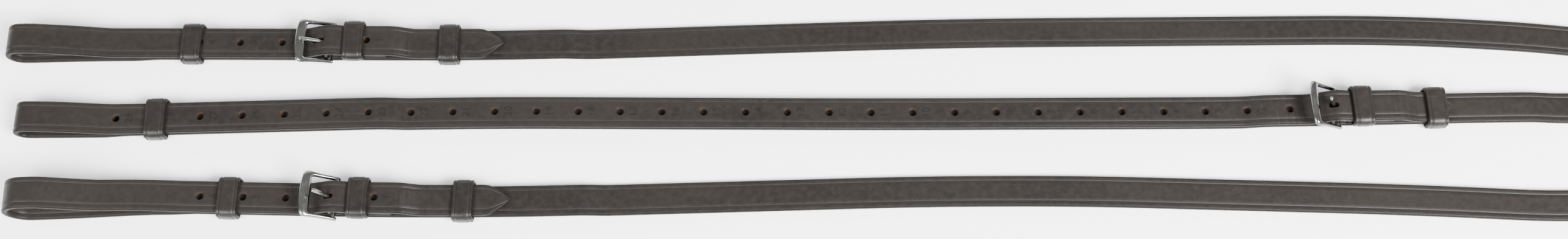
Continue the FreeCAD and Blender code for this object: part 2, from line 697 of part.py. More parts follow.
for strap, data in STRAPS.items():
    strap_body = make_strap(strap, data)
    add_tail(strap_body, strap, data)
    make_chape(strap, data)
    make_chape_stitching(strap, data)
    make_buckle_frame(strap, data)
    make_tongue(strap, data)
    make_keepers(strap, data)
    if data["hank"]:
        make_tie(strap, data)
make_fork_stitching()
doc.recompute()
SHIFT = centre_on_origin()

for item in doc.Objects:
    if "Invalid" in item.State or "Error" in item.State:
        raise RuntimeError("%s did not compute: %s" % (item.Label, item.State))
os.makedirs("parts", exist_ok=True)
for body in PIECES:
    shape = body.Shape
    if shape.isNull() or not shape.isValid():
        raise RuntimeError("%s has no valid shape" % body.Label)
    shape.exportStep("parts/%s.step" % body.Label)
    print("%-26s solids %2d  volume %9.1f" % (body.Label, len(shape.Solids), shape.Volume))
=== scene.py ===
"""Leather triangle reins, laid flat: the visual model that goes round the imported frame."""

import bisect
import bmesh
import bpy
import json
import math
import random
from bpy.props import FloatProperty, FloatVectorProperty, PointerProperty
from mathutils import Matrix, Vector


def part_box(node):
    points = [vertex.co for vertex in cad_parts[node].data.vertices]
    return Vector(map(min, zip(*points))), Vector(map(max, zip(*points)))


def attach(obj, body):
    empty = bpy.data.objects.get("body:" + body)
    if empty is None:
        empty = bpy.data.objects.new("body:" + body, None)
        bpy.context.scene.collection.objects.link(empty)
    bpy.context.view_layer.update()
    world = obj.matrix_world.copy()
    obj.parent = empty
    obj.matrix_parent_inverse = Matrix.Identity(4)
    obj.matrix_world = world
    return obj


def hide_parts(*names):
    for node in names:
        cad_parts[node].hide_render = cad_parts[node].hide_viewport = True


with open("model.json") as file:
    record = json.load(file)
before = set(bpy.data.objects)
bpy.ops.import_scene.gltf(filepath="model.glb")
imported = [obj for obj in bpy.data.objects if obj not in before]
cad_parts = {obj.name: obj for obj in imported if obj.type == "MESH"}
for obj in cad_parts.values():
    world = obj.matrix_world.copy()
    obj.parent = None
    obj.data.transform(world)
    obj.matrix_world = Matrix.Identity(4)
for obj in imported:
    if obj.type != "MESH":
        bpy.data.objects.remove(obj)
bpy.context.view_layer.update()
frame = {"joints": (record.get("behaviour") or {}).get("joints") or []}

bl_info = {
    "name": "Leather Reins",
    "version": (1, 0, 0),
    "blender": (4, 5, 0),
    "location": "3D View > Sidebar > Reins",
    "description": "Builds leather triangle reins with their buckles, keepers and stitching",
    "category": "Add Mesh",
}

MM = 0.001
SIDES = (1, -1)
ALONG, ACROSS, UPWARD = Vector((1, 0, 0)), Vector((0, 1, 0)), Vector((0, 0, 1))

# Each strap, in millimetres from the reins' left end. "plan" is its middle line seen from
# above, "tip" its billet's point, "holes" its round holes, and "lifted" the stretches that
# its keepers hold off the table. "loop" is its girth loop's height, "meet" where the loop's
# layers meet, and "droop" the share of height lost on the way there. "pulled" is the long
# hole round the tongue, from the heel bar. "tilt" and "tongue" are the buckle's angles in
# degrees. A "folded" strap has a hank. "fork_layer" is its place in the fork's stack, and
# "settle" how far past its last plan point it lies flat there.
STRAPS = {
    "top": {
        "plan": [(2, 45.6), (60, 47.2), (300, 46.4), (575, 55.8), (850, 58.2), (960, 51.6)],
        "loop": 19.0, "droop": 0.36, "meet": 64.0, "tip": 303.3, "lifted": [(92.0, 340.5)],
        "holes": [117.9, 143.0, 168.6, 220.9],
        "pulled": (-10.4, -2.4), "tilt": 12.0, "tongue": 21.9,
        "folded": True, "fork_layer": 2, "settle": 291.0,
    },
    "centre": {
        "plan": [(13, -3.0), (75, -2.6), (280, 3.2), (530, 2.0), (760, 3.0), (900, 6.2), (960, 6.8)],
        "loop": 15.0, "droop": 0.25, "meet": 70.0, "tip": 877.5,
        "lifted": [(80.0, 232.5), (765.0, 927.2)],
        "holes": [779.1 - 25.2 * number for number in range(29)],
        "pulled": (-4.9, 0.4), "tilt": 34.0, "tongue": 66.0,
        "folded": False, "fork_layer": 1, "settle": 235.9,
    },
    "bottom": {
        "plan": [(17, -55.0), (55, -53.6), (105, -50.8), (240, -53.7), (318, -53.4),
                 (560, -46.3), (650, -46.0), (850, -51.6), (960, -57.0)],
        "loop": 27.0, "droop": 0.6, "meet": 118.0, "tip": 312.2, "lifted": [(128.0, 355.2)],
        "holes": [129.6, 155.0, 180.4, 233.5],
        "pulled": (-5.3, 0.2), "tilt": 34.0, "tongue": 62.0,
        "folded": True, "fork_layer": 0, "settle": 238.1,
    },
}
FORK = (1303.4, -8.0)        # middle of the sewn overlap
FORK_OVERLAP = 55.0

# Leather and hardware sizes that the pieces share, in millimetres.
WIDTH = 19.0
CHAPE_WIDTH = 18.0
LEATHER = 3.2
HALF = LEATHER / 2
GAP = 0.2
LIFT = 2.3
CHAPE_LEATHER = 1.8
BAR_RADIUS = 1.5
BORE_RADIUS = 1.55
KEEPER_END = 1.0
MAIN_TOP = LIFT + LEATHER
UPPER = MAIN_TOP + GAP + HALF
LEG_TOP = MAIN_TOP + CHAPE_LEATHER
BAR_HEIGHT = LEG_TOP + BORE_RADIUS
FOLD_TOP = BAR_HEIGHT + BORE_RADIUS + CHAPE_LEATHER
CHAPE_TOP = LEG_TOP + KEEPER_END + CHAPE_LEATHER
BILLET = CHAPE_TOP + GAP + HALF
CREST = FOLD_TOP + GAP + HALF
RAMP = (-15.5, -1.5)         # the billet climbs to the crest over the heel bar
SEAT = (3.0, 9.0)            # and settles on the chape
STEP = (39.0, 49.0)          # and on the strap beyond it
HANK = (36.0, 186.0)         # a folded hank's left and right ends, from the strap's turn
HANK_LEVELS = [3.1, 6.6, 10.1, 13.6, 17.1]
HANK_CLIMB = (24.0, 6.0)     # the strap climbs to a hank this far before its left end
HANK_REST = 7.9              # and leaves the top run this far past its right end
BAND = 4.0                   # half width of the middle band that holes are cut from
CLIMB = 14.0                 # length of a strap's climb to a lifted stretch
SAG_AT = 0.4                 # where a girth loop's top run has lost its droop
EASING = 8                   # passes that ease the bends of a strap
POINT_RINGS = (0.0, 0.5, 1.2, 2.2, 3.6, 5.4, 7.5, 9.8, 12.0)
POINT_CLEAR = 13.5           # the even rings start this far from the point
POINT_CURVE = 1.55           # how full the point's sides are
TIP_WIDTH = 0.08             # share of the strap's width left at the very tip
TIP_THICKNESS = 0.55         # and of its thickness, which is full again after TIP_THIN
TIP_THIN = 4.0
# The wrinkles bump the leather and carry painted shade in their hollows, most at these places.
WORKED = ((24.0, 1.0), (-42.0, 0.8))         # most wrinkled places from the heel bar, and how much
WORKED_REACH = 16.0
HOLE_SIDES = 28
HOLE_RIM = ((0.34, 0.0), (0.12, 0.08), (0.0, 0.3))      # how far out and how deep its rings are
NUMBER_SIZE = 6.6
NUMBER_PLACE = 8.2           # from a hole's middle to its number's
CHAPE_LENGTH = 34.0
SLOT_HALF = 2.5              # half width of the chape's slot for the tongue
STITCH_PITCH = 3.4
STITCH_HALF = 1.3
STITCH_DIP = 0.22
THREAD_RADIUS = 0.30


def joint(name):
    """The record's joint of that name."""
    return next(entry for entry in frame["joints"] if entry["name"] == name)


def middle_line(strap, x):
    """Sideways place and slope of a strap's middle line, in millimetres, at a distance x."""
    points = STRAPS[strap]["plan"] + [FORK]
    slopes = [(b[1] - a[1]) / (b[0] - a[0]) for a, b in zip(points, points[1:])]
    last = len(slopes) - 1
    index = next((i for i, point in enumerate(points[1:]) if x <= point[0]), last)
    y = points[index][1] + slopes[index] * (x - points[index][0])
    slope = slopes[index]
    for i in range(1, len(points) - 1):
        shorter = min(points[i][0] - points[i - 1][0], points[i + 1][0] - points[i][0])
        reach = min(60.0, 0.45 * shorter)
        off = x - points[i][0]
        if abs(off) < reach:
            change = slopes[i] - slopes[i - 1]
            y = points[i][1] + slopes[i - 1] * off + change * (off + reach) ** 2 / (4 * reach)
            slope = slopes[i - 1] + change * (off + reach) / (2 * reach)
    return y, slope


_bar = joint("top_frame_swing")["pos_m"]
BAR_FROM_LEFT = 198.6        # the top strap's heel bar, from the reins' left end
DATUM = Vector((_bar[0] - BAR_FROM_LEFT * MM,
                _bar[1] - middle_line("top", BAR_FROM_LEFT)[0] * MM, 0.0))


def bar_x(strap):
    """Distance of a strap's heel bar from the reins' left end, in millimetres."""
    return (joint(strap + "_frame_swing")["pos_m"][0] - DATUM.x) / MM


def row_point(x, y, z):
    """A place in millimetres from the left end, as a point in the row frame."""
    return DATUM + Vector((x, y, z)) * MM


# ---------------------------------------------------------------- settings


class ReinsLeatherSettings(bpy.types.PropertyGroup):
    """Sizes and colours of the straps and keepers"""

    strap_colour: FloatVectorProperty(
        name="Strap colour", description="Colour of the dyed strap leather", subtype="COLOR",
        size=3, min=0.0, max=1.0, default=(0.0082, 0.0067, 0.0057))
    keeper_colour: FloatVectorProperty(
        name="Keeper colour", description="Colour of the keepers' leather", subtype="COLOR",
        size=3, min=0.0, max=1.0, default=(0.0078, 0.0064, 0.0055))
    raw_colour: FloatVectorProperty(
        name="Raw leather colour", description="Undyed leather inside the punched holes", subtype="COLOR",
        size=3, min=0.0, max=1.0, default=(0.030, 0.0150, 0.0078))
    grain_depth: FloatProperty(
        name="Grain depth", description="Strength of the leather's grain", default=0.32,
        min=0.0, max=1.0, subtype="FACTOR")
    hole_diameter: FloatProperty(
        name="Hole diameter", description="Diameter of the punched holes", default=0.0044,
        unit="LENGTH", subtype="DISTANCE")
    crease_inset: FloatProperty(
        name="Crease inset", description="Distance of the creased line from the strap's edge",
        default=0.0033, unit="LENGTH", subtype="DISTANCE")
    crease_depth: FloatProperty(
        name="Crease depth", description="Depth of the creased line", default=0.0003,
        unit="LENGTH", subtype="DISTANCE")
    point_length: FloatProperty(
        name="Point length", description="Length of the billet's pointed end", default=0.014,
        unit="LENGTH", subtype="DISTANCE")


class ReinsHardwareSettings(bpy.types.PropertyGroup):
    """Sizes and colours of the buckles, thread and ties"""

    # Painted reflection: the buckles' colour is far darker than plated steel, standing in for the dark
    # surroundings that they reflect.
    steel_colour: FloatVectorProperty(
        name="Steel colour", description="Colour of the buckles", subtype="COLOR",
        size=3, min=0.0, max=1.0, default=(0.22, 0.22, 0.21))
    steel_roughness: FloatProperty(
        name="Steel roughness", description="How dull the buckles are", default=0.2,
        min=0.0, max=1.0, subtype="FACTOR")
    thread_colour: FloatVectorProperty(
        name="Thread colour", description="Colour of the waxed thread", subtype="COLOR",
        size=3, min=0.0, max=1.0, default=(0.0085, 0.0075, 0.0068))
    tie_colour: FloatVectorProperty(
        name="Tie colour", description="Colour of the woven ties", subtype="COLOR",
        size=3, min=0.0, max=1.0, default=(0.0125, 0.013, 0.0145))
    tongue_thickness: FloatProperty(
        name="Tongue thickness", description="Thickness of the buckle tongues", default=0.0025,
        unit="LENGTH", subtype="DISTANCE")


class ReinsStageSettings(bpy.types.PropertyGroup):
    """Camera, light and floor"""

    floor_colour: FloatVectorProperty(
        name="Floor colour", description="Colour of the floor", subtype="COLOR",
        size=3, min=0.0, max=1.0, default=(0.93, 0.93, 0.93))
    camera_elevation: FloatProperty(
        name="Camera elevation", description="Camera's height angle above the floor",
        default=math.radians(70.0), subtype="ANGLE")
    camera_distance: FloatProperty(
        name="Camera distance", description="From the camera to the point that it looks at",
        default=1.05, unit="LENGTH", subtype="DISTANCE")
    seen_length: FloatProperty(
        name="Seen length", description="Length of the reins that the camera sees",
        default=0.9493, unit="LENGTH", subtype="DISTANCE")


# ---------------------------------------------------------------- mesh helpers


def finish_piece(name, mesh_data, finishes, body, replaced=None):
    """Turns a bmesh into a piece of the object with its finishes, riding on its body."""
    mesh = bpy.data.meshes.new(name)
    bmesh.ops.recalc_face_normals(mesh_data, faces=mesh_data.faces)
    mesh_data.to_mesh(mesh)
    mesh_data.free()
    if not mesh.polygons:
        raise RuntimeError(name + " has no faces")
    for finish in finishes:
        mesh.materials.append(finish_named(finish))
    piece = bpy.data.objects.new(name, mesh)
    bpy.context.scene.collection.objects.link(piece)
    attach(piece, body)
    if replaced:
        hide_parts(replaced)
    return piece


def skin_rings(mesh_data, rings, closed=False, caps=True, index=0):
    """Joins rings of points, each a closed outline, into one skin."""
    made = [[mesh_data.verts.new(point) for point in ring] for ring in rings]
    pairs = list(zip(made, made[1:] + ([made[0]] if closed else [])))
    for first, second in pairs:
        count = len(first)
        for i in range(count):
            j = (i + 1) % count
            face = mesh_data.faces.new((first[i], first[j], second[j], second[i]))
            face.smooth = True
            face.material_index = index
    if caps and not closed:
        for ring in (made[0], made[-1]):
            face = mesh_data.faces.new(ring)
            face.material_index = index
    return made


def round_ring(place, centre, first, second, count):
    """Points round a centre given in millimetres, with two half axes."""
    turns = [2 * math.pi * k / count for k in range(count)]
    return [place @ ((centre + first * math.cos(turn) + second * math.sin(turn)) * MM)
            for turn in turns]


def soft_rectangle(long, thick, edge, groove_inset=0.0, groove=0.0):
    """Outline of a leather strip's section: round edges and creased lines."""
    half, top = long / 2, thick / 2
    side = [(half - edge, top), (half - 0.5 * edge, top - 0.13 * edge),
            (half - 0.13 * edge, top - 0.5 * edge), (half, top - edge)]
    face = []
    if groove:
        line = half - groove_inset
        face = [(line - 0.55, top), (line - 0.22, top - 0.6 * groove), (line, top - groove),
                (line + 0.22, top - 0.6 * groove), (line + 0.55, top)]
    right = [(0.45 * half, top)] + face + side
    below = [(half, -top + edge), (half - 0.13 * edge, -top + 0.5 * edge),
             (half - 0.5 * edge, -top + 0.13 * edge), (half - edge, -top), (0.45 * half, -top)]
    one_side = right + below
    return one_side + [(-x, z) for x, z in reversed(one_side)]


def rounded_route(points, step=1.0, longest=3.5):
    """Evenly spaced samples along straight runs joined by tangent arcs: (x, z)."""
    samples = [Vector(points[0][:2])]

    def run_to(end):
        start = samples[-1].copy()
        count = max(1, round((end - start).length / step))
        samples.extend(start.lerp(end, i / count) for i in range(1, count + 1))

    for before, here, after in zip(points, points[1:], points[2:]):
        p, q, r = Vector(before[:2]), Vector(here[:2]), Vector(after[:2])
        back, ahead = (p - q), (r - q)
        shorter = min(back.length, ahead.length)
        back.normalize()
        ahead.normalize()
        turn = math.pi - back.angle(ahead)
        reach = here[2] * math.tan(turn / 2) if len(here) > 2 else min(longest, 0.45 * shorter)
        radius = reach / math.tan(turn / 2)
        centre = q + (back + ahead).normalized() * radius / math.cos(turn / 2)
        into = q + back * reach
        if (into - samples[-1]).length > 1e-4:
            run_to(into)
        spoke = into - centre
        way = 1 if spoke.x * (-back.y) - spoke.y * (-back.x) > 0 else -1
        count = max(3, math.ceil(turn * radius / min(step, 0.6)))
        for i in range(1, count + 1):
            angle = way * turn * i / count
            samples.append(centre + Vector((spoke.x * math.cos(angle) - spoke.y * math.sin(angle),
                                            spoke.x * math.sin(angle) + spoke.y * math.cos(angle))))
    run_to(Vector(points[-1][:2]))
    return samples


def relaxed(samples, passes):
    """The same samples with their corners eased, ends kept."""
    for _ in range(passes):
        samples = [samples[0]] + [
            (a + 2 * b + c) / 4 for a, b, c in zip(samples, samples[1:], samples[2:])] + [samples[-1]]
    return samples


class Route:
    """A strap's path: place, direction, sideways and outward vectors at a distance along it."""

    def __init__(self, strap, samples):
        self.places, self.sides, self.headings = [], [], []
        for sample in samples:
            y, slope = middle_line(strap, sample.x)
            self.places.append(row_point(sample.x, y, sample.y))
            self.sides.append(Vector((-slope, 1, 0)).normalized())
        self.distances = [0.0]
        for a, b in zip(self.places, self.places[1:]):
            self.distances.append(self.distances[-1] + (b - a).length)
        last = len(self.places) - 1
        for i in range(last + 1):
            way = self.places[min(i + 1, last)] - self.places[max(i - 1, 0)]
            self.headings.append(way.normalized())
        self.length = self.distances[-1]

    def at(self, distance):
        """(place, heading, sideways, outward) at a distance along the strap, in metres."""
        distance = min(max(distance, 0.0), self.length)
        i = min(max(bisect.bisect_right(self.distances, distance) - 1, 0), len(self.distances) - 2)
        span = self.distances[i + 1] - self.distances[i]
        part = (distance - self.distances[i]) / span if span else 0.0
        place = self.places[i].lerp(self.places[i + 1], part)
        heading = self.headings[i].lerp(self.headings[i + 1], part).normalized()
        side = self.sides[i].lerp(self.sides[i + 1], part).normalized()
        return place, heading, side, side.cross(heading).normalized()

    def distance_at(self, x):
        """Distance along the billet at which it passes x, in metres, for x in millimetres."""
        target = DATUM.x + x * MM
        for i, (a, b) in enumerate(zip(self.places, self.places[1:])):
            if a.x >= target > b.x:
                return self.distances[i] + (a.x - target) / (a.x - b.x) * (b - a).length
        raise RuntimeError("the billet doesn't reach %.1f mm" % x)


# ---------------------------------------------------------------- materials


def shader_node(tree, kind, inputs=None, **settings):
    """Adds a shader node; inputs are values or sockets to link from."""
    made = tree.nodes.new(kind)
    made.location = (240 * (len(tree.nodes) % 7), -260 * (len(tree.nodes) // 7))
    for name, value in settings.items():
        setattr(made, name, value)
    for name, value in (inputs or {}).items():
        socket = made.inputs[name]
        if isinstance(value, bpy.types.NodeSocket):
            tree.links.new(value, socket)
        else:
            socket.default_value = value
    return made


def empty_material(name):
    """A new material with nothing but its output, and where textures are placed from."""
    material = bpy.data.materials.new(name)
    material.use_nodes = True
    tree = material.node_tree
    tree.nodes.clear()
    place = shader_node(tree, "ShaderNodeTexCoord").outputs["Object"]
    return material, tree, place


def principled(material, tree, inputs):
    """The material, ended with a principled shader of those inputs."""
    shader = shader_node(tree, "ShaderNodeBsdfPrincipled", inputs)
    output = shader_node(tree, "ShaderNodeOutputMaterial")
    tree.links.new(shader.outputs[0], output.inputs["Surface"])
    return material


def stored(tree, name):
    """A value kept on the mesh under that name."""
    return shader_node(tree, "ShaderNodeAttribute", attribute_name=name).outputs["Fac"]


def cells(tree, place, scale, feature="F1"):
    """Distance from the nearest of many scattered points."""
    return shader_node(tree, "ShaderNodeTexVoronoi", {"Vector": place, "Scale": scale},
                       feature=feature).outputs["Distance"]


def waves(tree, place, scale, distortion, direction):
    """Stripes across a direction."""
    return shader_node(tree, "ShaderNodeTexWave", {
        "Vector": place, "Scale": scale, "Distortion": distortion},
        bands_direction=direction).outputs["Fac"]


def noise(tree, place, scale, detail=2.0, stretch=(1.0, 1.0, 1.0), roughness=0.5):
    """Noise texture, stretched along an axis where stretch is below one."""
    if stretch != (1.0, 1.0, 1.0):
        place = shader_node(tree, "ShaderNodeMapping", {"Vector": place, "Scale": stretch}).outputs[0]
    return shader_node(tree, "ShaderNodeTexNoise", {
        "Vector": place, "Scale": scale, "Detail": detail, "Roughness": roughness}).outputs["Fac"]


def spread(tree, value, low, high, to_low=0.0, to_high=1.0, kind="SMOOTHSTEP"):
    """Maps low..high onto to_low..to_high, kept within them."""
    return shader_node(tree, "ShaderNodeMapRange", {
        "Value": value, "From Min": low, "From Max": high, "To Min": to_low, "To Max": to_high},
        interpolation_type=kind).outputs["Result"]


def maths(tree, kind, first, second=0.5):
    return shader_node(tree, "ShaderNodeMath", {0: first, 1: second}, operation=kind).outputs[0]


def blend_colour(tree, factor, first, second, kind="MIX"):
    """Mixes two colours, each a socket or three numbers."""
    colours = [value if isinstance(value, bpy.types.NodeSocket) else (*value, 1.0)
               for value in (first, second)]
    return shader_node(tree, "ShaderNodeMix", {0: factor, 6: colours[0], 7: colours[1]},
                       data_type="RGBA", blend_type=kind).outputs[2]


def bump(tree, height, strength, distance, normal=None):
    inputs = {"Height": height, "Strength": strength, "Distance": distance}
    if normal:
        inputs["Normal"] = normal
    return shader_node(tree, "ShaderNodeBump", inputs).outputs["Normal"]


def tinted(colour, factor):
    return tuple(min(1.0, channel * factor) for channel in colour)


def dressed_leather(name, colour, depth, gloss, shine, lined):
    """Dyed and polished leather: grain, cloudy colour, fine scratches, worn edges, and painted shade along
    the creased line and in the wrinkles.
    """
    material, tree, place = empty_material(name)
    cloud = noise(tree, place, 22.0, 3.0, (0.35, 1.0, 1.0))
    fine = noise(tree, place, 260.0, 4.0, roughness=0.65)
    grain = cells(tree, place, 1150.0, "SMOOTH_F1")
    pores = cells(tree, place, 620.0)
    streaks = noise(tree, place, 160.0, 5.0, (0.06, 1.0, 1.0), 0.7)
    scratches = noise(tree, place, 340.0, 2.0, (0.05, 1.0, 0.4))
    base = blend_colour(tree, spread(tree, cloud, 0.32, 0.68), tinted(colour, 0.80), tinted(colour, 1.20))
    for mask, low, high, share, shade in (
            (fine, 0.35, 0.72, 0.55, 1.35), (streaks, 0.60, 0.78, 0.45, 1.8),
            (pores, 0.16, 0.02, 0.30, 0.35), (scratches, 0.71, 0.78, 0.40, 2.6)):
        base = blend_colour(tree, spread(tree, mask, low, high, 0.0, share), base, tinted(colour, shade))
    out = maths(tree, "ABSOLUTE", stored(tree, "across"))
    edge = spread(tree, out, 0.93, 0.99)
    base = blend_colour(tree, edge, base, tinted(colour, 0.55))
    worn = spread(tree, out, 0.86, 0.985)
    worn = maths(tree, "MULTIPLY", worn, spread(tree, fine, 0.50, 0.72, 0.0, 0.55))
    base = blend_colour(tree, worn, base, tinted((colour[0] * 1.08, colour[1], colour[2] * 0.92), 1.7))
    height = maths(tree, "ADD", grain, maths(tree, "MULTIPLY", fine, 0.8))
    # Painted shade: the colour is darkened along the creased line, standing in for the shade that falls in
    # its groove.
    if lined:
        off = maths(tree, "ABSOLUTE", maths(tree, "SUBTRACT", out, lined))
        line = spread(tree, off, 0.05, 0.0)
        base = blend_colour(tree, maths(tree, "MULTIPLY", line, 0.62), base, tinted(colour, 0.30))
    # Painted shade: where the strap is most worked, the colour is darkened in the wrinkles' hollows,
    # standing in for the shade there; the same wrinkles also bump the surface below.
    worked = stored(tree, "worked")
    folds = noise(tree, place, 420.0, 2.0, (1.0, 0.06, 0.2), 0.6)
    base = blend_colour(tree, maths(tree, "MULTIPLY", worked, spread(tree, folds, 0.48, 0.30, 0.0, 0.6)),
                        base, tinted(colour, 0.35))
    soft = bump(tree, fine, 0.35 * depth, 0.0005)
    soft = bump(tree, maths(tree, "MULTIPLY", folds, worked), 0.8, 0.0006, soft)
    normal = bump(tree, height, depth, 0.00012, soft)
    dull = spread(tree, fine, 0.3, 0.7, gloss - 0.07, gloss + 0.09, "LINEAR")
    return principled(material, tree, {
        "Base Color": base, "Roughness": maths(tree, "ADD", dull, maths(tree, "MULTIPLY", worn, 0.1)),
        "Specular IOR Level": spread(tree, out, 0.88, 0.97, shine, 0.35 * shine), "Normal": normal,
        "Coat Weight": 0.02, "Coat Roughness": 0.35, "Sheen Weight": 0.02, "Sheen Roughness": 0.5})


def raw_leather(name, colour):
    """Undyed leather of a punched hole: fibrous and matt."""
    material, tree, place = empty_material(name)
    fibres = noise(tree, place, 1500.0, 4.0, (1.0, 1.0, 0.3), 0.7)
    patches = noise(tree, place, 420.0, 2.0)
    base = blend_colour(tree, fibres, tinted(colour, 0.55), tinted(colour, 1.5))
    base = blend_colour(tree, spread(tree, patches, 0.45, 0.62, 0.0, 0.8), base, tinted(colour, 0.3))
    return principled(material, tree, {
        "Base Color": base, "Roughness": spread(tree, fibres, 0.2, 0.8, 0.75, 0.95),
        "Normal": bump(tree, fibres, 0.6, 0.0002), "Specular IOR Level": 0.1})


def polished_steel(name, colour, roughness):
    """Nickel plated steel: near mirror, with hairline scratches and faint handling marks."""
    material, tree, place = empty_material(name)
    hairlines = noise(tree, place, 900.0, 3.0, (1.0, 0.05, 0.3), 0.6)
    marks = noise(tree, place, 90.0, 3.0)
    pits = cells(tree, place, 700.0)
    # The steel colour's darkness is painted reflection of dark surroundings; the marks and pits below vary
    # it.
    base = blend_colour(tree, spread(tree, marks, 0.35, 0.7), tinted(colour, 0.88), tinted(colour, 1.08))
    base = blend_colour(tree, spread(tree, pits, 0.10, 0.02, 0.0, 0.5), base, tinted(colour, 0.35))
    rough = maths(tree, "ADD", spread(tree, marks, 0.3, 0.7, 0.6 * roughness, 1.3 * roughness, "LINEAR"),
                  spread(tree, hairlines, 0.55, 0.75, 0.0, 0.12))
    return principled(material, tree, {
        "Base Color": base, "Metallic": 1.0, "Roughness": rough,
        "Normal": bump(tree, hairlines, 0.06, 0.0001)})


def waxed_thread(name, colour):
    """Twisted and waxed sewing thread."""
    material, tree, place = empty_material(name)
    twist = waves(tree, place, 700.0, 1.5, "DIAGONAL")
    fuzz = noise(tree, place, 2500.0, 3.0)
    base = blend_colour(tree, twist, tinted(colour, 0.6), tinted(colour, 2.2))
    return principled(material, tree, {
        "Base Color": base, "Roughness": spread(tree, fuzz, 0.3, 0.7, 0.5, 0.75),
        "Normal": bump(tree, twist, 0.7, 0.0001),
        "Specular IOR Level": 0.25, "Sheen Weight": 0.03})


def woven_band(name, colour):
    """Flat woven binding tape: threads crossing over and under."""
    material, tree, place = empty_material(name)
    lengthways = waves(tree, place, 330.0, 0.4, "X")
    crossways = waves(tree, place, 240.0, 0.4, "Y")
    upright = waves(tree, place, 240.0, 0.4, "Z")
    weave = maths(tree, "MULTIPLY", lengthways, maths(tree, "MAXIMUM", crossways, upright))
    fuzz = noise(tree, place, 900.0, 4.0, roughness=0.7)
    base = blend_colour(tree, weave, tinted(colour, 0.5), tinted(colour, 1.7))
    base = blend_colour(tree, spread(tree, fuzz, 0.4, 0.7, 0.0, 0.5), base, tinted(colour, 2.4))
    return principled(material, tree, {
        "Base Color": base, "Roughness": spread(tree, fuzz, 0.3, 0.7, 0.75, 0.92),
        "Normal": bump(tree, weave, 0.9, 0.0003), "Sheen Weight": 0.3, "Sheen Roughness": 0.4})


def studio_floor(name, colour):
    """Matt paper backdrop with a barely visible tooth."""
    material, tree, place = empty_material(name)
    tooth = noise(tree, place, 400.0, 3.0)
    shade = noise(tree, place, 3.0, 2.0)
    base = blend_colour(tree, shade, tinted(colour, 0.99), tinted(colour, 1.01))
    return principled(material, tree, {
        "Base Color": base, "Roughness": spread(tree, tooth, 0.3, 0.7, 0.85, 0.95),
        "Normal": bump(tree, tooth, 0.04, 0.0002), "Specular IOR Level": 0.2})


def finish_named(name):
    """The finish of that name, made from the settings the first time it is asked for."""
    full = "reins_" + name
    if full in bpy.data.materials:
        return bpy.data.materials[full]
    leather = bpy.context.scene.reins_leather
    hardware = bpy.context.scene.reins_hardware
    line = 1.0 - leather.crease_inset / (WIDTH * MM / 2)
    makers = {
        "strap_leather": lambda: dressed_leather(
            full, leather.strap_colour, leather.grain_depth, 0.50, 0.15, line),
        "keeper_leather": lambda: dressed_leather(
            full, leather.keeper_colour, leather.grain_depth * 0.6, 0.40, 0.20, 0.0),
        "number_leather": lambda: dressed_leather(
            full, tinted(leather.strap_colour, 0.55), leather.grain_depth, 0.55, 0.15, 0.0),
        "raw_leather": lambda: raw_leather(full, leather.raw_colour),
        "buckle_steel": lambda: polished_steel(full, hardware.steel_colour, hardware.steel_roughness),
        "waxed_thread": lambda: waxed_thread(full, hardware.thread_colour),
        "tie_band": lambda: woven_band(full, hardware.tie_colour),
    }
    return makers[name]()


# ---------------------------------------------------------------- straps


def side_route(strap):
    """Side view of a strap: from its point, round the girth loop and along to the fork."""
    data = STRAPS[strap]
    bar, meet, lifted = bar_x(strap), data["meet"], data["lifted"]
    fold = (data["loop"] - LEATHER) / 2
    left, top = data["plan"][0][0] + HALF, data["loop"] - HALF
    points = [(data["tip"], UPPER), (bar + STEP[1], UPPER), (bar + STEP[0], BILLET),
              (bar + SEAT[1], BILLET), (bar + SEAT[0], CREST),
              (bar + RAMP[1], CREST), (bar + RAMP[0], UPPER)]
    for before, after in reversed(list(zip(lifted, lifted[1:]))):
        points += [(after[0], UPPER), (after[0] - CLIMB, LEATHER + GAP + HALF),
                   (before[1] + CLIMB, LEATHER + GAP + HALF), (before[1], UPPER)]
    crown = left + 1.7 * fold
    sag = (crown + SAG_AT * (meet - crown), top - data["droop"] * (top - UPPER))
    points += [(meet, UPPER), sag, (crown, top), (left, top, fold), (left, HALF, fold)]
    for start, end in lifted:
        points += [(start - CLIMB, HALF), (start, LIFT + HALF), (end, LIFT + HALF),
                   (end + CLIMB, HALF)]
    turn = data["plan"][-1]
    run = Vector((FORK[0] - turn[0], FORK[1] - turn[1]))
    along = run.x / run.length
    tail = [(data["settle"] - 20, HALF)]
    if data["folded"]:
        near, far = HANK
        tail = [(near - HANK_CLIMB[0], HALF), (near - HANK_CLIMB[1], HANK_LEVELS[0])]
        for number, (low, high) in enumerate(zip(HANK_LEVELS, HANK_LEVELS[1:])):
            end = near if number % 2 else far
            fold = (high - low) / 2
            tail += [(end, low, fold), (end, high, fold)]
        tail.append((far + HANK_REST, HANK_LEVELS[-1]))
    seat = data["fork_layer"] * LEATHER + HALF
    tail += [(data["settle"], seat), (run.length + FORK_OVERLAP / 2, seat)]
    points += [(turn[0] + spot[0] * along, *spot[1:]) for spot in tail]
    samples = rounded_route(points)
    split = next(i for i, sample in enumerate(samples) if sample.x > turn[0])
    return relaxed(samples[:split], EASING) + samples[split:]


def mesh_stations(route, exact):
    """Distances along a strap for its mesh: closer in bends, and exact at fixed stretches."""
    fixed = sorted(spot for stretch in exact for spot in stretch)
    places, heading = [0.0], route.headings[0]
    for distance, way in zip(route.distances, route.headings):
        gap = distance - places[-1]
        if gap > 5.0 * MM or (gap > 0.4 * MM and way.angle(heading) > math.radians(6)):
            places.append(distance)
            heading = way
    places = [spot for spot in places
              if not any(stretch[0] - 0.8 * MM < spot < stretch[-1] + 0.8 * MM for stretch in exact)]
    if route.length - places[-1] < 1.0 * MM:
        places.pop()
    return sorted(places + fixed + [route.length])


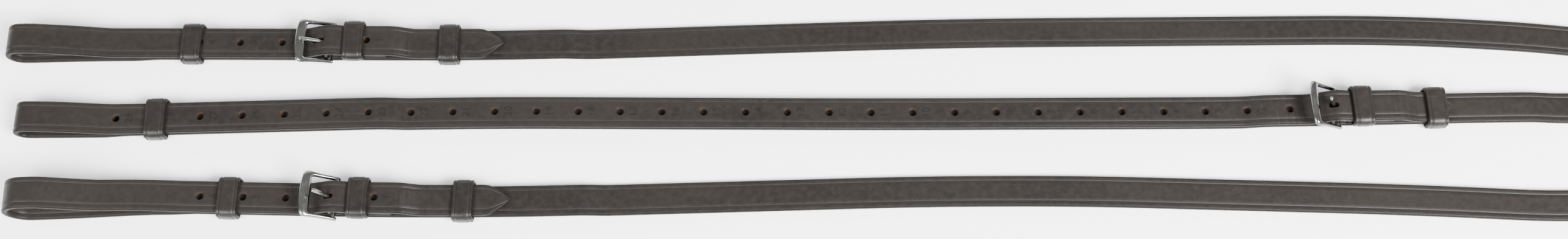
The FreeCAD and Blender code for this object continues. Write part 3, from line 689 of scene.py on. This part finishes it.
def strap_section(leather):
    """Right half of a strap's section from its upper middle band to its lower one, in mm."""
    side = WIDTH / 2
    line = side - leather.crease_inset / MM
    low = HALF - leather.crease_depth / MM
    upper = [(BAND, HALF), (line - 0.65, HALF), (line - 0.28, (HALF + low) / 2), (line, low),
             (line + 0.28, (HALF + low) / 2), (line + 0.65, HALF - 0.01), (side - 1.1, HALF - 0.02),
             (side - 0.5, HALF - 0.14), (side - 0.18, HALF - 0.42), (side - 0.04, HALF - 0.85)]
    return upper + [(side, 0.0)] + [(across, -out) for across, out in reversed(upper)]


class StrapMesh:
    """Mesh of one strap, grown ring by ring along its route."""

    def __init__(self, strap, route, leather):
        self.route = route
        self.data = bmesh.new()
        self.across = self.data.verts.layers.float.new("across")
        self.worked = self.data.verts.layers.float.new("worked")
        self.buckle = route.distance_at(bar_x(strap))
        right = strap_section(leather)
        self.outline = right + [(-across, out) for across, out in reversed(right)]
        self.count, self.turn = len(self.outline), len(right)
        self.point_length = leather.point_length

    def spot(self, distance, across, out):
        """A vertex at a distance along the strap, across it and out from it."""
        place, heading, side, outward = self.route.at(distance)
        part = min(distance / self.point_length, 1.0)
        narrow = TIP_WIDTH + (1 - TIP_WIDTH) * (1 - (1 - part) ** POINT_CURVE)
        thin = TIP_THICKNESS + (1 - TIP_THICKNESS) * min(distance / (TIP_THIN * MM), 1.0)
        vertex = self.data.verts.new(place + (side * across * narrow + outward * out * thin) * MM)
        vertex[self.across] = across / (WIDTH / 2)
        off = (distance - self.buckle) / MM
        vertex[self.worked] = sum(much * math.exp(-((off - middle) / WORKED_REACH) ** 2)
                                  for middle, much in WORKED)
        return vertex

    def face(self, vertices, index=0, smooth=True):
        made = self.data.faces.new(vertices)
        made.smooth = smooth
        made.material_index = index

    def zip_loops(self, outer, inner):
        """Fills between two loops of (angle, vertex), both in order of angle."""
        i = j = 0
        full = 2 * math.pi
        while i < len(outer) or j < len(inner):
            next_outer = outer[(i + 1) % len(outer)][0] + full * ((i + 1) // len(outer))
            next_inner = inner[(j + 1) % len(inner)][0] + full * ((j + 1) // len(inner))
            a, b = outer[i % len(outer)][1], inner[j % len(inner)][1]
            if i < len(outer) and (j >= len(inner) or next_outer <= next_inner):
                self.face((a, outer[(i + 1) % len(outer)][1], b))
                i += 1
            else:
                self.face((a, inner[(j + 1) % len(inner)][1], b))
                j += 1

    def punch(self, rings, middle, half_long, half_wide):
        """Fills the middle band between some rings on both faces, leaving a punched hole."""
        straight = half_long - half_wide
        walls = []
        for face_side, pair in ((1, (0, self.count - 1)), (-1, (self.turn - 1, self.turn))):
            border = [(distance, ring[pair[0]], BAND) for distance, ring in rings]
            border += [(distance, ring[pair[1]], -BAND) for distance, ring in rings]
            scale = BAND / (half_long + 3.0)
            outer = sorted(((math.atan2(across, (distance - middle) / MM * scale), vertex)
                            for distance, vertex, across in border), key=lambda pair: pair[0])
            loops = []
            for grow, drop in HOLE_RIM:
                loop = []
                for number in range(HOLE_SIDES):
                    angle = -math.pi + 2 * math.pi * (number + 0.5) / HOLE_SIDES
                    along = (half_wide + grow) * math.cos(angle) + math.copysign(straight, math.cos(angle))
                    across = (half_wide + grow) * math.sin(angle)
                    vertex = self.spot(middle + along * MM, across, face_side * (HALF - drop))
                    loop.append((math.atan2(across, along * scale), vertex))
                loops.append(loop)
            self.zip_loops(outer, loops[0])
            for first, second in zip(loops, loops[1:]):
                self.join([entry[1] for entry in first], [entry[1] for entry in second], 0)
            walls.append([entry[1] for entry in loops[-1]])
        self.join(walls[0], walls[1], 1)

    def join(self, first, second, index):
        count = len(first)
        for i in range(count):
            j = (i + 1) % count
            self.face((first[i], first[j], second[j], second[i]), index)


def add_strap(strap):
    """One continuous strap with its point, creased lines and punched holes."""
    leather = bpy.context.scene.reins_leather
    route = Route(strap, side_route(strap))
    radius = leather.hole_diameter / MM / 2
    holes = [(route.distance_at(x), radius, radius) for x in STRAPS[strap]["holes"]]
    near, far = [route.distance_at(bar_x(strap) + x) for x in STRAPS[strap]["pulled"]]
    holes.append(((near + far) / 2, (near - far) / 2 / MM, 1.6))
    stretches = []
    for middle, half_long, half_wide in holes:
        reach = half_long + 1.9
        steps = 2 * max(2, round(reach / 1.6))
        stretches.append([middle + (2 * i / steps - 1) * reach * MM for i in range(steps + 1)])
    mesh = StrapMesh(strap, route, leather)
    start = [part * MM for part in POINT_RINGS]
    places = start + [spot for spot in mesh_stations(route, stretches) if spot > POINT_CLEAR * MM]
    rings = [(distance, [mesh.spot(distance, *point) for point in mesh.outline]) for distance in places]
    in_hole = [any(stretch[0] - 1e-6 <= distance < stretch[-1] - 1e-6 for stretch in stretches)
               for distance in places]
    for skip, (_, first), (_, second) in zip(in_hole, rings, rings[1:]):
        for i in range(mesh.count):
            if skip and i in (mesh.turn - 1, mesh.count - 1):
                continue
            j = (i + 1) % mesh.count
            mesh.face((first[i], first[j], second[j], second[i]))
    for (middle, half_long, half_wide), stretch in zip(holes, stretches):
        inside = [ring for ring in rings if stretch[0] - 1e-6 <= ring[0] <= stretch[-1] + 1e-6]
        mesh.punch(inside, middle, half_long, half_wide)
    for ring in (rings[0][1], rings[-1][1]):
        mesh.face(ring, smooth=False)
    return finish_piece(strap + "_leather_strap", mesh.data,
                        ["strap_leather", "raw_leather"],
                        "straps", strap + "_strap")


def add_numbers(strap):
    """Small pressed numbers beside the holes, counted from the buckle."""
    route = Route(strap, side_route(strap))
    everything = bmesh.new()
    everything.verts.layers.float.new("across")
    for number, x in enumerate(sorted(STRAPS[strap]["holes"], reverse=True), start=1):
        writing = bpy.data.curves.new("number", type="FONT")
        writing.body = str(number)
        writing.size = NUMBER_SIZE
        writing.align_x = "CENTER"
        writing.align_y = "CENTER"
        writing.extrude = 0.06
        writing.resolution_u = 3
        holder = bpy.data.objects.new("number", writing)
        shape = holder.to_mesh()
        distance = route.distance_at(x + NUMBER_PLACE)
        start = len(everything.verts)
        everything.from_mesh(shape)
        everything.verts.ensure_lookup_table()
        for vertex in everything.verts[start:]:
            up, along, out = vertex.co.copy()
            place, heading, side, outward = route.at(distance + along * MM)
            vertex.co = place + (side * up + outward * (HALF + 0.03 + out)) * MM
        holder.to_mesh_clear()
        bpy.data.objects.remove(holder)
        bpy.data.curves.remove(writing)
    return finish_piece(strap + "_hole_numbers", everything, ["number_leather"],
                        "straps")


# ---------------------------------------------------------------- keepers, ties, chapes


def node_place(node, strap):
    """Matrix that stands a piece on a strap at a CAD node's middle, at the height of Z = 0."""
    low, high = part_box(node)
    middle = [(low[i] + high[i]) / 2 for i in range(2)]
    slope = middle_line(strap, (middle[0] - DATUM.x) / MM)[1]
    return Matrix.Translation((*middle, 0.0)) @ Matrix.Rotation(math.atan(slope), 4, "Z")


def round_corners(half_wide, low, high, radius, steps=7):
    """Closed path round a rectangle with round corners: (y, z), outward (y, z) at each point."""
    path = []
    for y_way, z_way, start in ((1, 1, 0), (-1, 1, 90), (-1, -1, 180), (1, -1, 270)):
        corner = (y_way * (half_wide - radius), (high if z_way > 0 else low) - z_way * radius)
        for step in range(steps + 1):
            angle = math.radians(start + 90 * step / steps)
            outward = (math.cos(angle), math.sin(angle))
            path.append(((corner[0] + radius * outward[0], corner[1] + radius * outward[1]), outward))
    with_middles = []
    for here, after in zip(path, path[1:] + path[:1]):
        with_middles.append(here)
        gap = math.hypot(after[0][0] - here[0][0], after[0][1] - here[0][1])
        if gap > 3.0:
            for part in (0.08, 0.3, 0.5, 0.7, 0.92):
                spot = [here[0][i] + part * (after[0][i] - here[0][i]) for i in (0, 1)]
                with_middles.append((spot, here[1]))
    return with_middles


def add_band(name, strap, node, body, height, section, thickness, bottom, corner, finish, seed):
    """A closed band round a strap: a keeper, a runner or a tie. Height is its lowest and
    highest outside; bottom is its thickness underneath; finish is also its slot."""
    low, high = height
    half_wide = WIDTH / 2 + section["play"] + thickness / 2
    path = round_corners(half_wide, low + bottom / 2, high - thickness / 2, corner - thickness / 2)
    place = node_place(node, strap)
    draw = random.Random(seed)
    slant = draw.uniform(-0.2, 0.2)
    mesh_data = bmesh.new()
    across = mesh_data.verts.layers.float.new("across")
    outline = soft_rectangle(section["long"], 2.0, 0.7, section["inset"], section["groove"])
    rings = []
    for (y, z), outward in path:
        under = max(0.0, min(1.0, -outward[1] * 1.4))
        wall = thickness + (bottom - thickness) * under
        ring = []
        for x, out in outline:
            crown = section["dome"] * (1 - under) * (1 - (2 * x / section["long"]) ** 2)
            lift = out * wall / 2 + (crown if out > 0.5 else 0.0)
            ring.append(place @ (Vector((x + slant * y / half_wide, y + outward[0] * lift,
                                         z + outward[1] * lift)) * MM))
        rings.append(ring)
    made = skin_rings(mesh_data, rings, closed=True)
    for ring in made:
        for vertex, (x, _) in zip(ring, outline):
            vertex[across] = x / (section["long"] / 2)
    return finish_piece(name, mesh_data, [finish], body, node)


KEEPER_SECTION = {"long": 12.2, "inset": 1.9, "groove": 0.42, "dome": 0.5, "play": 0.8}
TIE_SECTION = {"long": 16.0, "inset": 1.4, "groove": 0.2, "dome": 0.0, "play": 0.3}
KEEPER_TOP = UPPER + HALF + 0.3 + 2.0
FIXED_TOP = BILLET + HALF + 0.6 + 2.0
TIE_TOP = HANK_LEVELS[-1] + HALF + 0.3 + 1.2


def add_keepers(strap):
    """The keeper sewn behind the buckle, the sliding keeper and the loop's runner."""
    look = (KEEPER_SECTION, 2.0)
    add_band(strap + "_sewn_keeper", strap, strap + "_fixed_keeper", "straps", (LEG_TOP, FIXED_TOP),
             *look, KEEPER_END, 3.6, "keeper_leather", strap + " sewn")
    for node, name in (("_sliding_keeper", "_keeper"), ("_loop_runner", "_loop_runner")):
        add_band(strap + name + "_band", strap, strap + node, strap + name, (0.0, KEEPER_TOP),
                 *look, 2.0, 3.8, "keeper_leather", strap + node)


def add_tie(strap):
    """Woven tie round a side strap's folded hank."""
    add_band(strap + "_hank_band", strap, strap + "_hank_tie", "straps", (0.0, TIE_TOP),
             TIE_SECTION, 1.2, 1.2, 2.6, "tie_band", strap + " tie")


def sweep_strip(mesh_data, place, path, y_middle, wide):
    """A strip of chape leather along a path of (x, z, direction), its ends closed."""
    outline = soft_rectangle(wide, CHAPE_LEATHER, 0.35)
    across = mesh_data.verts.layers.float["across"]
    rings = []
    for x, z, angle in path:
        outward = (-math.sin(angle), math.cos(angle))
        rings.append([place @ (Vector((x + outward[0] * out, y_middle + y, z + outward[1] * out)) * MM)
                      for y, out in outline])
    for ring in skin_rings(mesh_data, rings):
        for vertex, (y, _) in zip(ring, outline):
            vertex[across] = y / (wide / 2)


def add_chape(strap):
    """The strip folded round the heel bar, its two legs sewn to the strap."""
    place = piece_place(strap, 0.0, 0.0)
    middle = CHAPE_LEATHER / 2
    mean = BORE_RADIUS + middle
    mesh_data = bmesh.new()
    mesh_data.verts.layers.float.new("across")
    lower, upper, crest = MAIN_TOP + middle, CHAPE_TOP - middle, FOLD_TOP - middle
    under = [(x, lower, math.pi) for x in (CHAPE_LENGTH, 20.0, 5.6)]
    sweep_strip(mesh_data, place, under, 0.0, CHAPE_WIDTH)
    down = math.atan2(upper - crest, 8.2 - 1.4)
    slope = [(5.0, crest + (5.0 - 1.4) / 6.8 * (upper - crest), down), (7.4, upper + 0.2, down * 0.8),
             (9.4, upper, 0.0), (20.0, upper, 0.0), (CHAPE_LENGTH - 1.0, upper - 0.05, 0.0),
             (CHAPE_LENGTH, upper - 0.1, 0.0)]
    sweep_strip(mesh_data, place, slope, 0.0, CHAPE_WIDTH)
    wrap = [(6.2, lower, math.pi), (0.0, lower, math.pi)]
    for step in range(1, 16):
        angle = math.pi * step / 16
        wrap.append((-mean * math.sin(angle), BAR_HEIGHT - mean * math.cos(angle), math.pi - angle))
    wrap += [(0.0, crest, 0.0), (1.4, crest, down / 2), (5.4, slope[0][1] - 0.24, down)]
    for side in SIDES:
        sweep_strip(mesh_data, place, wrap, side * (CHAPE_WIDTH / 4 + SLOT_HALF / 2),
                    CHAPE_WIDTH / 2 - SLOT_HALF)
    return finish_piece(strap + "_buckle_chape", mesh_data, ["strap_leather"],
                        "straps", strap + "_chape")


def piece_place(strap, height, angle):
    """Matrix of a piece drawn about the middle of a strap's heel bar."""
    spot = Vector(joint(strap + "_frame_swing")["pos_m"])
    slope = middle_line(strap, bar_x(strap))[1]
    return (Matrix.Translation((spot.x, spot.y, height * MM)) @ Matrix.Rotation(math.atan(slope), 4, "Z")
            @ Matrix.Rotation(math.radians(angle), 4, "Y"))


# ---------------------------------------------------------------- stitching


def add_stitches(name, node, place, rows, first, last, height, seed):
    """Rows of saddle stitches, each a short thread that dips into the leather at its ends."""
    draw = random.Random(seed)
    mesh_data = bmesh.new()
    count = int((last - first) / STITCH_PITCH) + 1
    for row in rows:
        for number in range(count):
            middle = first + number * STITCH_PITCH + draw.uniform(-0.08, 0.08)
            slant = draw.uniform(0.05, 0.18) * math.copysign(1, row)
            rings = []
            for part in (-1.0, -0.93, -0.75, -0.4, 0.0, 0.4, 0.75, 0.93, 1.0):
                girth = THREAD_RADIUS * math.sqrt(max(0.05, 1 - part ** 6))
                sink = math.copysign(STITCH_DIP * part ** 4, height[1])
                centre = Vector((middle + STITCH_HALF * part, row + slant * part, height[0] - sink))
                rings.append(round_ring(place, centre, ACROSS * girth, UPWARD * girth, 8))
            skin_rings(mesh_data, rings)
    return finish_piece(name, mesh_data, ["waxed_thread"], "straps", node)


def add_stitching():
    """The chapes' stitching under the straps, and the fork's on top."""
    for strap in STRAPS:
        add_stitches(strap + "_chape_stitches", strap + "_chape_stitching", piece_place(strap, 0.0, 0.0),
                     (-6.9, 6.9), 5.0, 32.0, (LIFT - 0.14, -1), strap + " chape")
    turn = STRAPS["top"]["plan"][-1]
    low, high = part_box("fork_stitching")
    place = (Matrix.Translation(((low[0] + high[0]) / 2, (low[1] + high[1]) / 2, 0.0))
             @ Matrix.Rotation(math.atan2(FORK[1] - turn[1], FORK[0] - turn[0]), 4, "Z"))
    add_stitches("fork_stitches", "fork_stitching", place, (-5.2, 5.2), -22.5, 22.5,
                 (3 * LEATHER + 0.16, 1), "fork")


# ---------------------------------------------------------------- buckles

# One half of the frame, from the heel to the middle of the front bar, in millimetres:
# outside x and y, inside x and y, half height.
FRAME_HALF = [
    (2.2, 12.9, 2.2, 11.8, 0.9), (2.0, 13.4, 2.0, 11.3, 1.35), (1.4, 13.5, 1.4, 11.1, 1.5),
    (-4.0, 13.5, -4.0, 11.1, 1.5), (-10.0, 13.6, -9.5, 11.1, 1.5), (-14.0, 13.85, -12.8, 11.1, 1.55),
    (-16.2, 14.1, -14.1, 10.95, 1.6), (-18.2, 14.0, -14.8, 10.6, 1.66), (-19.6, 13.2, -15.0, 10.1, 1.7),
    (-20.4, 11.4, -15.1, 9.5, 1.74), (-20.9, 8.8, -15.1, 8.2, 1.75), (-21.3, 5.2, -15.05, 5.2, 1.75),
    (-21.45, 2.6, -15.0, 2.6, 1.75),
]
FRAME_SECTION = [(0.0, 0.0), (0.03, 0.38), (0.12, 0.68), (0.27, 0.9), (0.45, 1.0), (0.6, 0.97),
                 (0.78, 0.82), (0.9, 0.6), (0.97, 0.32), (1.0, 0.0)]

# The heel bar's rings and the tongue's: distance along, and radius in millimetres or as a share.
HEEL_BAR = [(-12.4, 1.45), (-12.1, BAR_RADIUS), (-6.0, BAR_RADIUS), (0.0, BAR_RADIUS),
            (6.0, BAR_RADIUS), (12.1, BAR_RADIUS), (12.4, 1.45)]
TONGUE_SHANK = [(-1.9, 1.0), (-3.0, 1.04), (-6.0, 1.0), (-10.0, 0.97), (-14.0, 0.94), (-17.0, 0.92),
                (-18.2, 0.86), (-18.9, 0.72), (-19.3, 0.5), (-19.5, 0.2)]
EYE_RADIUS = 2.15


def add_frame(strap):
    """Buckle frame with a bowed, domed front bar and slim arms."""
    place = piece_place(strap, BAR_HEIGHT, STRAPS[strap]["tilt"])
    half = [(*row, 1) for row in FRAME_HALF]
    stations = half + [(-21.5, 0.0, -15.0, 0.0, 1.75, 1)] + [(*row[:5], -1) for row in reversed(half)]
    mesh_data = bmesh.new()
    rings = []
    for out_x, out_y, in_x, in_y, high, side in stations:
        ring = []
        under = [(part, -rise * 0.92) for part, rise in reversed(FRAME_SECTION[1:-1])]
        for part, rise in FRAME_SECTION + under:
            ring.append(place @ (Vector((in_x + part * (out_x - in_x),
                                         side * (in_y + part * (out_y - in_y)), rise * high)) * MM))
        rings.append(ring)
    skin_rings(mesh_data, rings)
    skin_rings(mesh_data, [round_ring(place, ACROSS * y, ALONG * radius, UPWARD * radius, 24)
                           for y, radius in HEEL_BAR])
    return finish_piece(strap + "_frame_steel", mesh_data, ["buckle_steel"],
                        strap + "_frame", strap + "_buckle_frame")


def add_tongue(strap):
    """Buckle tongue: an eye bent round the heel bar and a shank that thins to a blunt tip."""
    place = piece_place(strap, BAR_HEIGHT, STRAPS[strap]["tongue"])
    radius = bpy.context.scene.reins_hardware.tongue_thickness / MM / 2
    mesh_data = bmesh.new()
    outline = soft_rectangle(3.6, 1.2, 0.35)
    eye = []
    for step in range(28):
        angle = 2 * math.pi * step / 28
        outward = ALONG * math.cos(angle) + UPWARD * math.sin(angle)
        eye.append([place @ ((outward * (EYE_RADIUS + out) + ACROSS * y) * MM) for y, out in outline])
    skin_rings(mesh_data, eye, closed=True)
    skin_rings(mesh_data, [round_ring(place, ALONG * x, ACROSS * (1.08 * radius * part),
                                      UPWARD * (radius * part), 20) for x, part in TONGUE_SHANK])
    return finish_piece(strap + "_tongue_steel", mesh_data, ["buckle_steel"],
                        strap + "_tongue", strap + "_buckle_tongue")


# ---------------------------------------------------------------- stage

SEEN_MIDDLE = 474.7          # the camera looks at this distance from the left end


def add_light(name, place, aim, power, size):
    """Soft light of a size in metres, turned to what it lights."""
    light = bpy.data.lights.new(name, "AREA")
    light.energy = power
    light.shape = "RECTANGLE"
    light.size, light.size_y = size
    lamp = bpy.data.objects.new(name, light)
    lamp.location = place
    lamp.rotation_euler = (Vector(aim) - Vector(place)).to_track_quat("-Z", "Y").to_euler()
    bpy.context.scene.collection.objects.link(lamp)


def build_stage():
    """Pale floor, soft studio lights and the camera."""
    stage = bpy.context.scene.reins_stage
    mesh_data = bmesh.new()
    corners = ((-4.0, -3.0), (4.0, -3.0), (4.0, 3.0), (-4.0, 3.0))
    mesh_data.faces.new([mesh_data.verts.new((x, y, -0.0004)) for x, y in corners])
    mesh = bpy.data.meshes.new("floor")
    mesh_data.to_mesh(mesh)
    mesh_data.free()
    mesh.materials.append(studio_floor("floor_paper", stage.floor_colour))
    floor = bpy.data.objects.new("floor", mesh)
    bpy.context.scene.collection.objects.link(floor)
    aim = row_point(SEEN_MIDDLE, 0.0, 0.0)
    add_light("key", (aim.x + 1.3, -1.1, 1.6), aim, 310.0, (1.2, 1.0))
    add_light("fill", (aim.x - 1.3, -1.2, 1.5), aim, 130.0, (1.4, 1.0))
    add_light("rim", (aim.x - 0.2, 1.6, 0.9), aim, 30.0, (2.4, 0.6))
    world = bpy.data.worlds.new("studio")
    world.use_nodes = True
    background = world.node_tree.nodes["Background"]
    background.inputs["Color"].default_value = (1.0, 1.0, 1.0, 1.0)
    background.inputs["Strength"].default_value = 0.6
    bpy.context.scene.world = world
    camera = bpy.data.cameras.new("camera")
    camera.sensor_width = 36.0
    camera.lens = camera.sensor_width * stage.camera_distance / stage.seen_length
    viewer = bpy.data.objects.new("camera", camera)
    angle = stage.camera_elevation
    away = Vector((0.0, -math.cos(angle), math.sin(angle)))
    viewer.location = aim + away * stage.camera_distance
    viewer.rotation_euler = (-away).to_track_quat("-Z", "Y").to_euler()
    bpy.context.scene.collection.objects.link(viewer)
    bpy.context.scene.camera = viewer


# ---------------------------------------------------------------- add-on


class REINS_OT_stage(bpy.types.Operator):
    """Add the floor, the lights and the camera"""

    bl_idname = "reins.stage"
    bl_label = "Stage"
    bl_options = {"REGISTER", "UNDO"}

    def execute(self, context):
        build_stage()
        return {"FINISHED"}


class REINS_OT_straps(bpy.types.Operator):
    """Add the three leather straps with their points, creased lines and punched holes"""

    bl_idname = "reins.straps"
    bl_label = "Straps"
    bl_options = {"REGISTER", "UNDO"}

    def execute(self, context):
        for strap in STRAPS:
            add_strap(strap)
        return {"FINISHED"}


class REINS_OT_numbers(bpy.types.Operator):
    """Add the pressed numbers beside the holes"""

    bl_idname = "reins.numbers"
    bl_label = "Hole numbers"
    bl_options = {"REGISTER", "UNDO"}

    def execute(self, context):
        for strap in STRAPS:
            add_numbers(strap)
        return {"FINISHED"}


class REINS_OT_keepers(bpy.types.Operator):
    """Add the sewn keepers, the sliding keepers and the girth loops' runners"""

    bl_idname = "reins.keepers"
    bl_label = "Keepers"
    bl_options = {"REGISTER", "UNDO"}

    def execute(self, context):
        for strap in STRAPS:
            add_keepers(strap)
        return {"FINISHED"}


class REINS_OT_chapes(bpy.types.Operator):
    """Add the chapes, folded round the heel bars of the buckles"""

    bl_idname = "reins.chapes"
    bl_label = "Chapes"
    bl_options = {"REGISTER", "UNDO"}

    def execute(self, context):
        for strap in STRAPS:
            add_chape(strap)
        return {"FINISHED"}


class REINS_OT_stitching(bpy.types.Operator):
    """Add the saddle stitches of the chapes and the fork"""

    bl_idname = "reins.stitching"
    bl_label = "Stitching"
    bl_options = {"REGISTER", "UNDO"}

    def execute(self, context):
        add_stitching()
        return {"FINISHED"}


class REINS_OT_frames(bpy.types.Operator):
    """Add the steel frames of the three buckles"""

    bl_idname = "reins.frames"
    bl_label = "Buckle frames"
    bl_options = {"REGISTER", "UNDO"}

    def execute(self, context):
        for strap in STRAPS:
            add_frame(strap)
        return {"FINISHED"}


class REINS_OT_tongues(bpy.types.Operator):
    """Add the tongues of the three buckles"""

    bl_idname = "reins.tongues"
    bl_label = "Buckle tongues"
    bl_options = {"REGISTER", "UNDO"}

    def execute(self, context):
        for strap in STRAPS:
            add_tongue(strap)
        return {"FINISHED"}


class REINS_OT_ties(bpy.types.Operator):
    """Add the woven ties round the two folded hanks"""

    bl_idname = "reins.ties"
    bl_label = "Hank ties"
    bl_options = {"REGISTER", "UNDO"}

    def execute(self, context):
        for strap, data in STRAPS.items():
            if data["folded"]:
                add_tie(strap)
        return {"FINISHED"}


OPERATORS = (REINS_OT_stage, REINS_OT_straps, REINS_OT_numbers, REINS_OT_keepers, REINS_OT_chapes,
             REINS_OT_stitching, REINS_OT_frames, REINS_OT_tongues, REINS_OT_ties)
SETTINGS = {"reins_leather": ReinsLeatherSettings, "reins_hardware": ReinsHardwareSettings,
            "reins_stage": ReinsStageSettings}


class REINS_PT_panel(bpy.types.Panel):
    """Settings and pieces of the leather reins"""

    bl_idname = "REINS_PT_panel"
    bl_label = "Leather Reins"
    bl_space_type = "VIEW_3D"
    bl_region_type = "UI"
    bl_category = "Reins"

    def draw(self, context):
        for setting, kind in SETTINGS.items():
            box = self.layout.box()
            for name in kind.__annotations__:
                box.prop(getattr(context.scene, setting), name)
        column = self.layout.column(align=True)
        for operator in OPERATORS:
            column.operator(operator.bl_idname)


CLASSES = (*SETTINGS.values(), *OPERATORS, REINS_PT_panel)


def register():
    for kind in CLASSES:
        bpy.utils.register_class(kind)
    for name, kind in SETTINGS.items():
        setattr(bpy.types.Scene, name, PointerProperty(type=kind))


def unregister():
    for name in SETTINGS:
        delattr(bpy.types.Scene, name)
    for kind in reversed(CLASSES):
        bpy.utils.unregister_class(kind)


def main():
    """Builds the whole scene."""
    register()
    for operator in OPERATORS:
        family, name = operator.bl_idname.split(".")
        getattr(getattr(bpy.ops, family), name)()


if __name__ == "__main__":
    main()
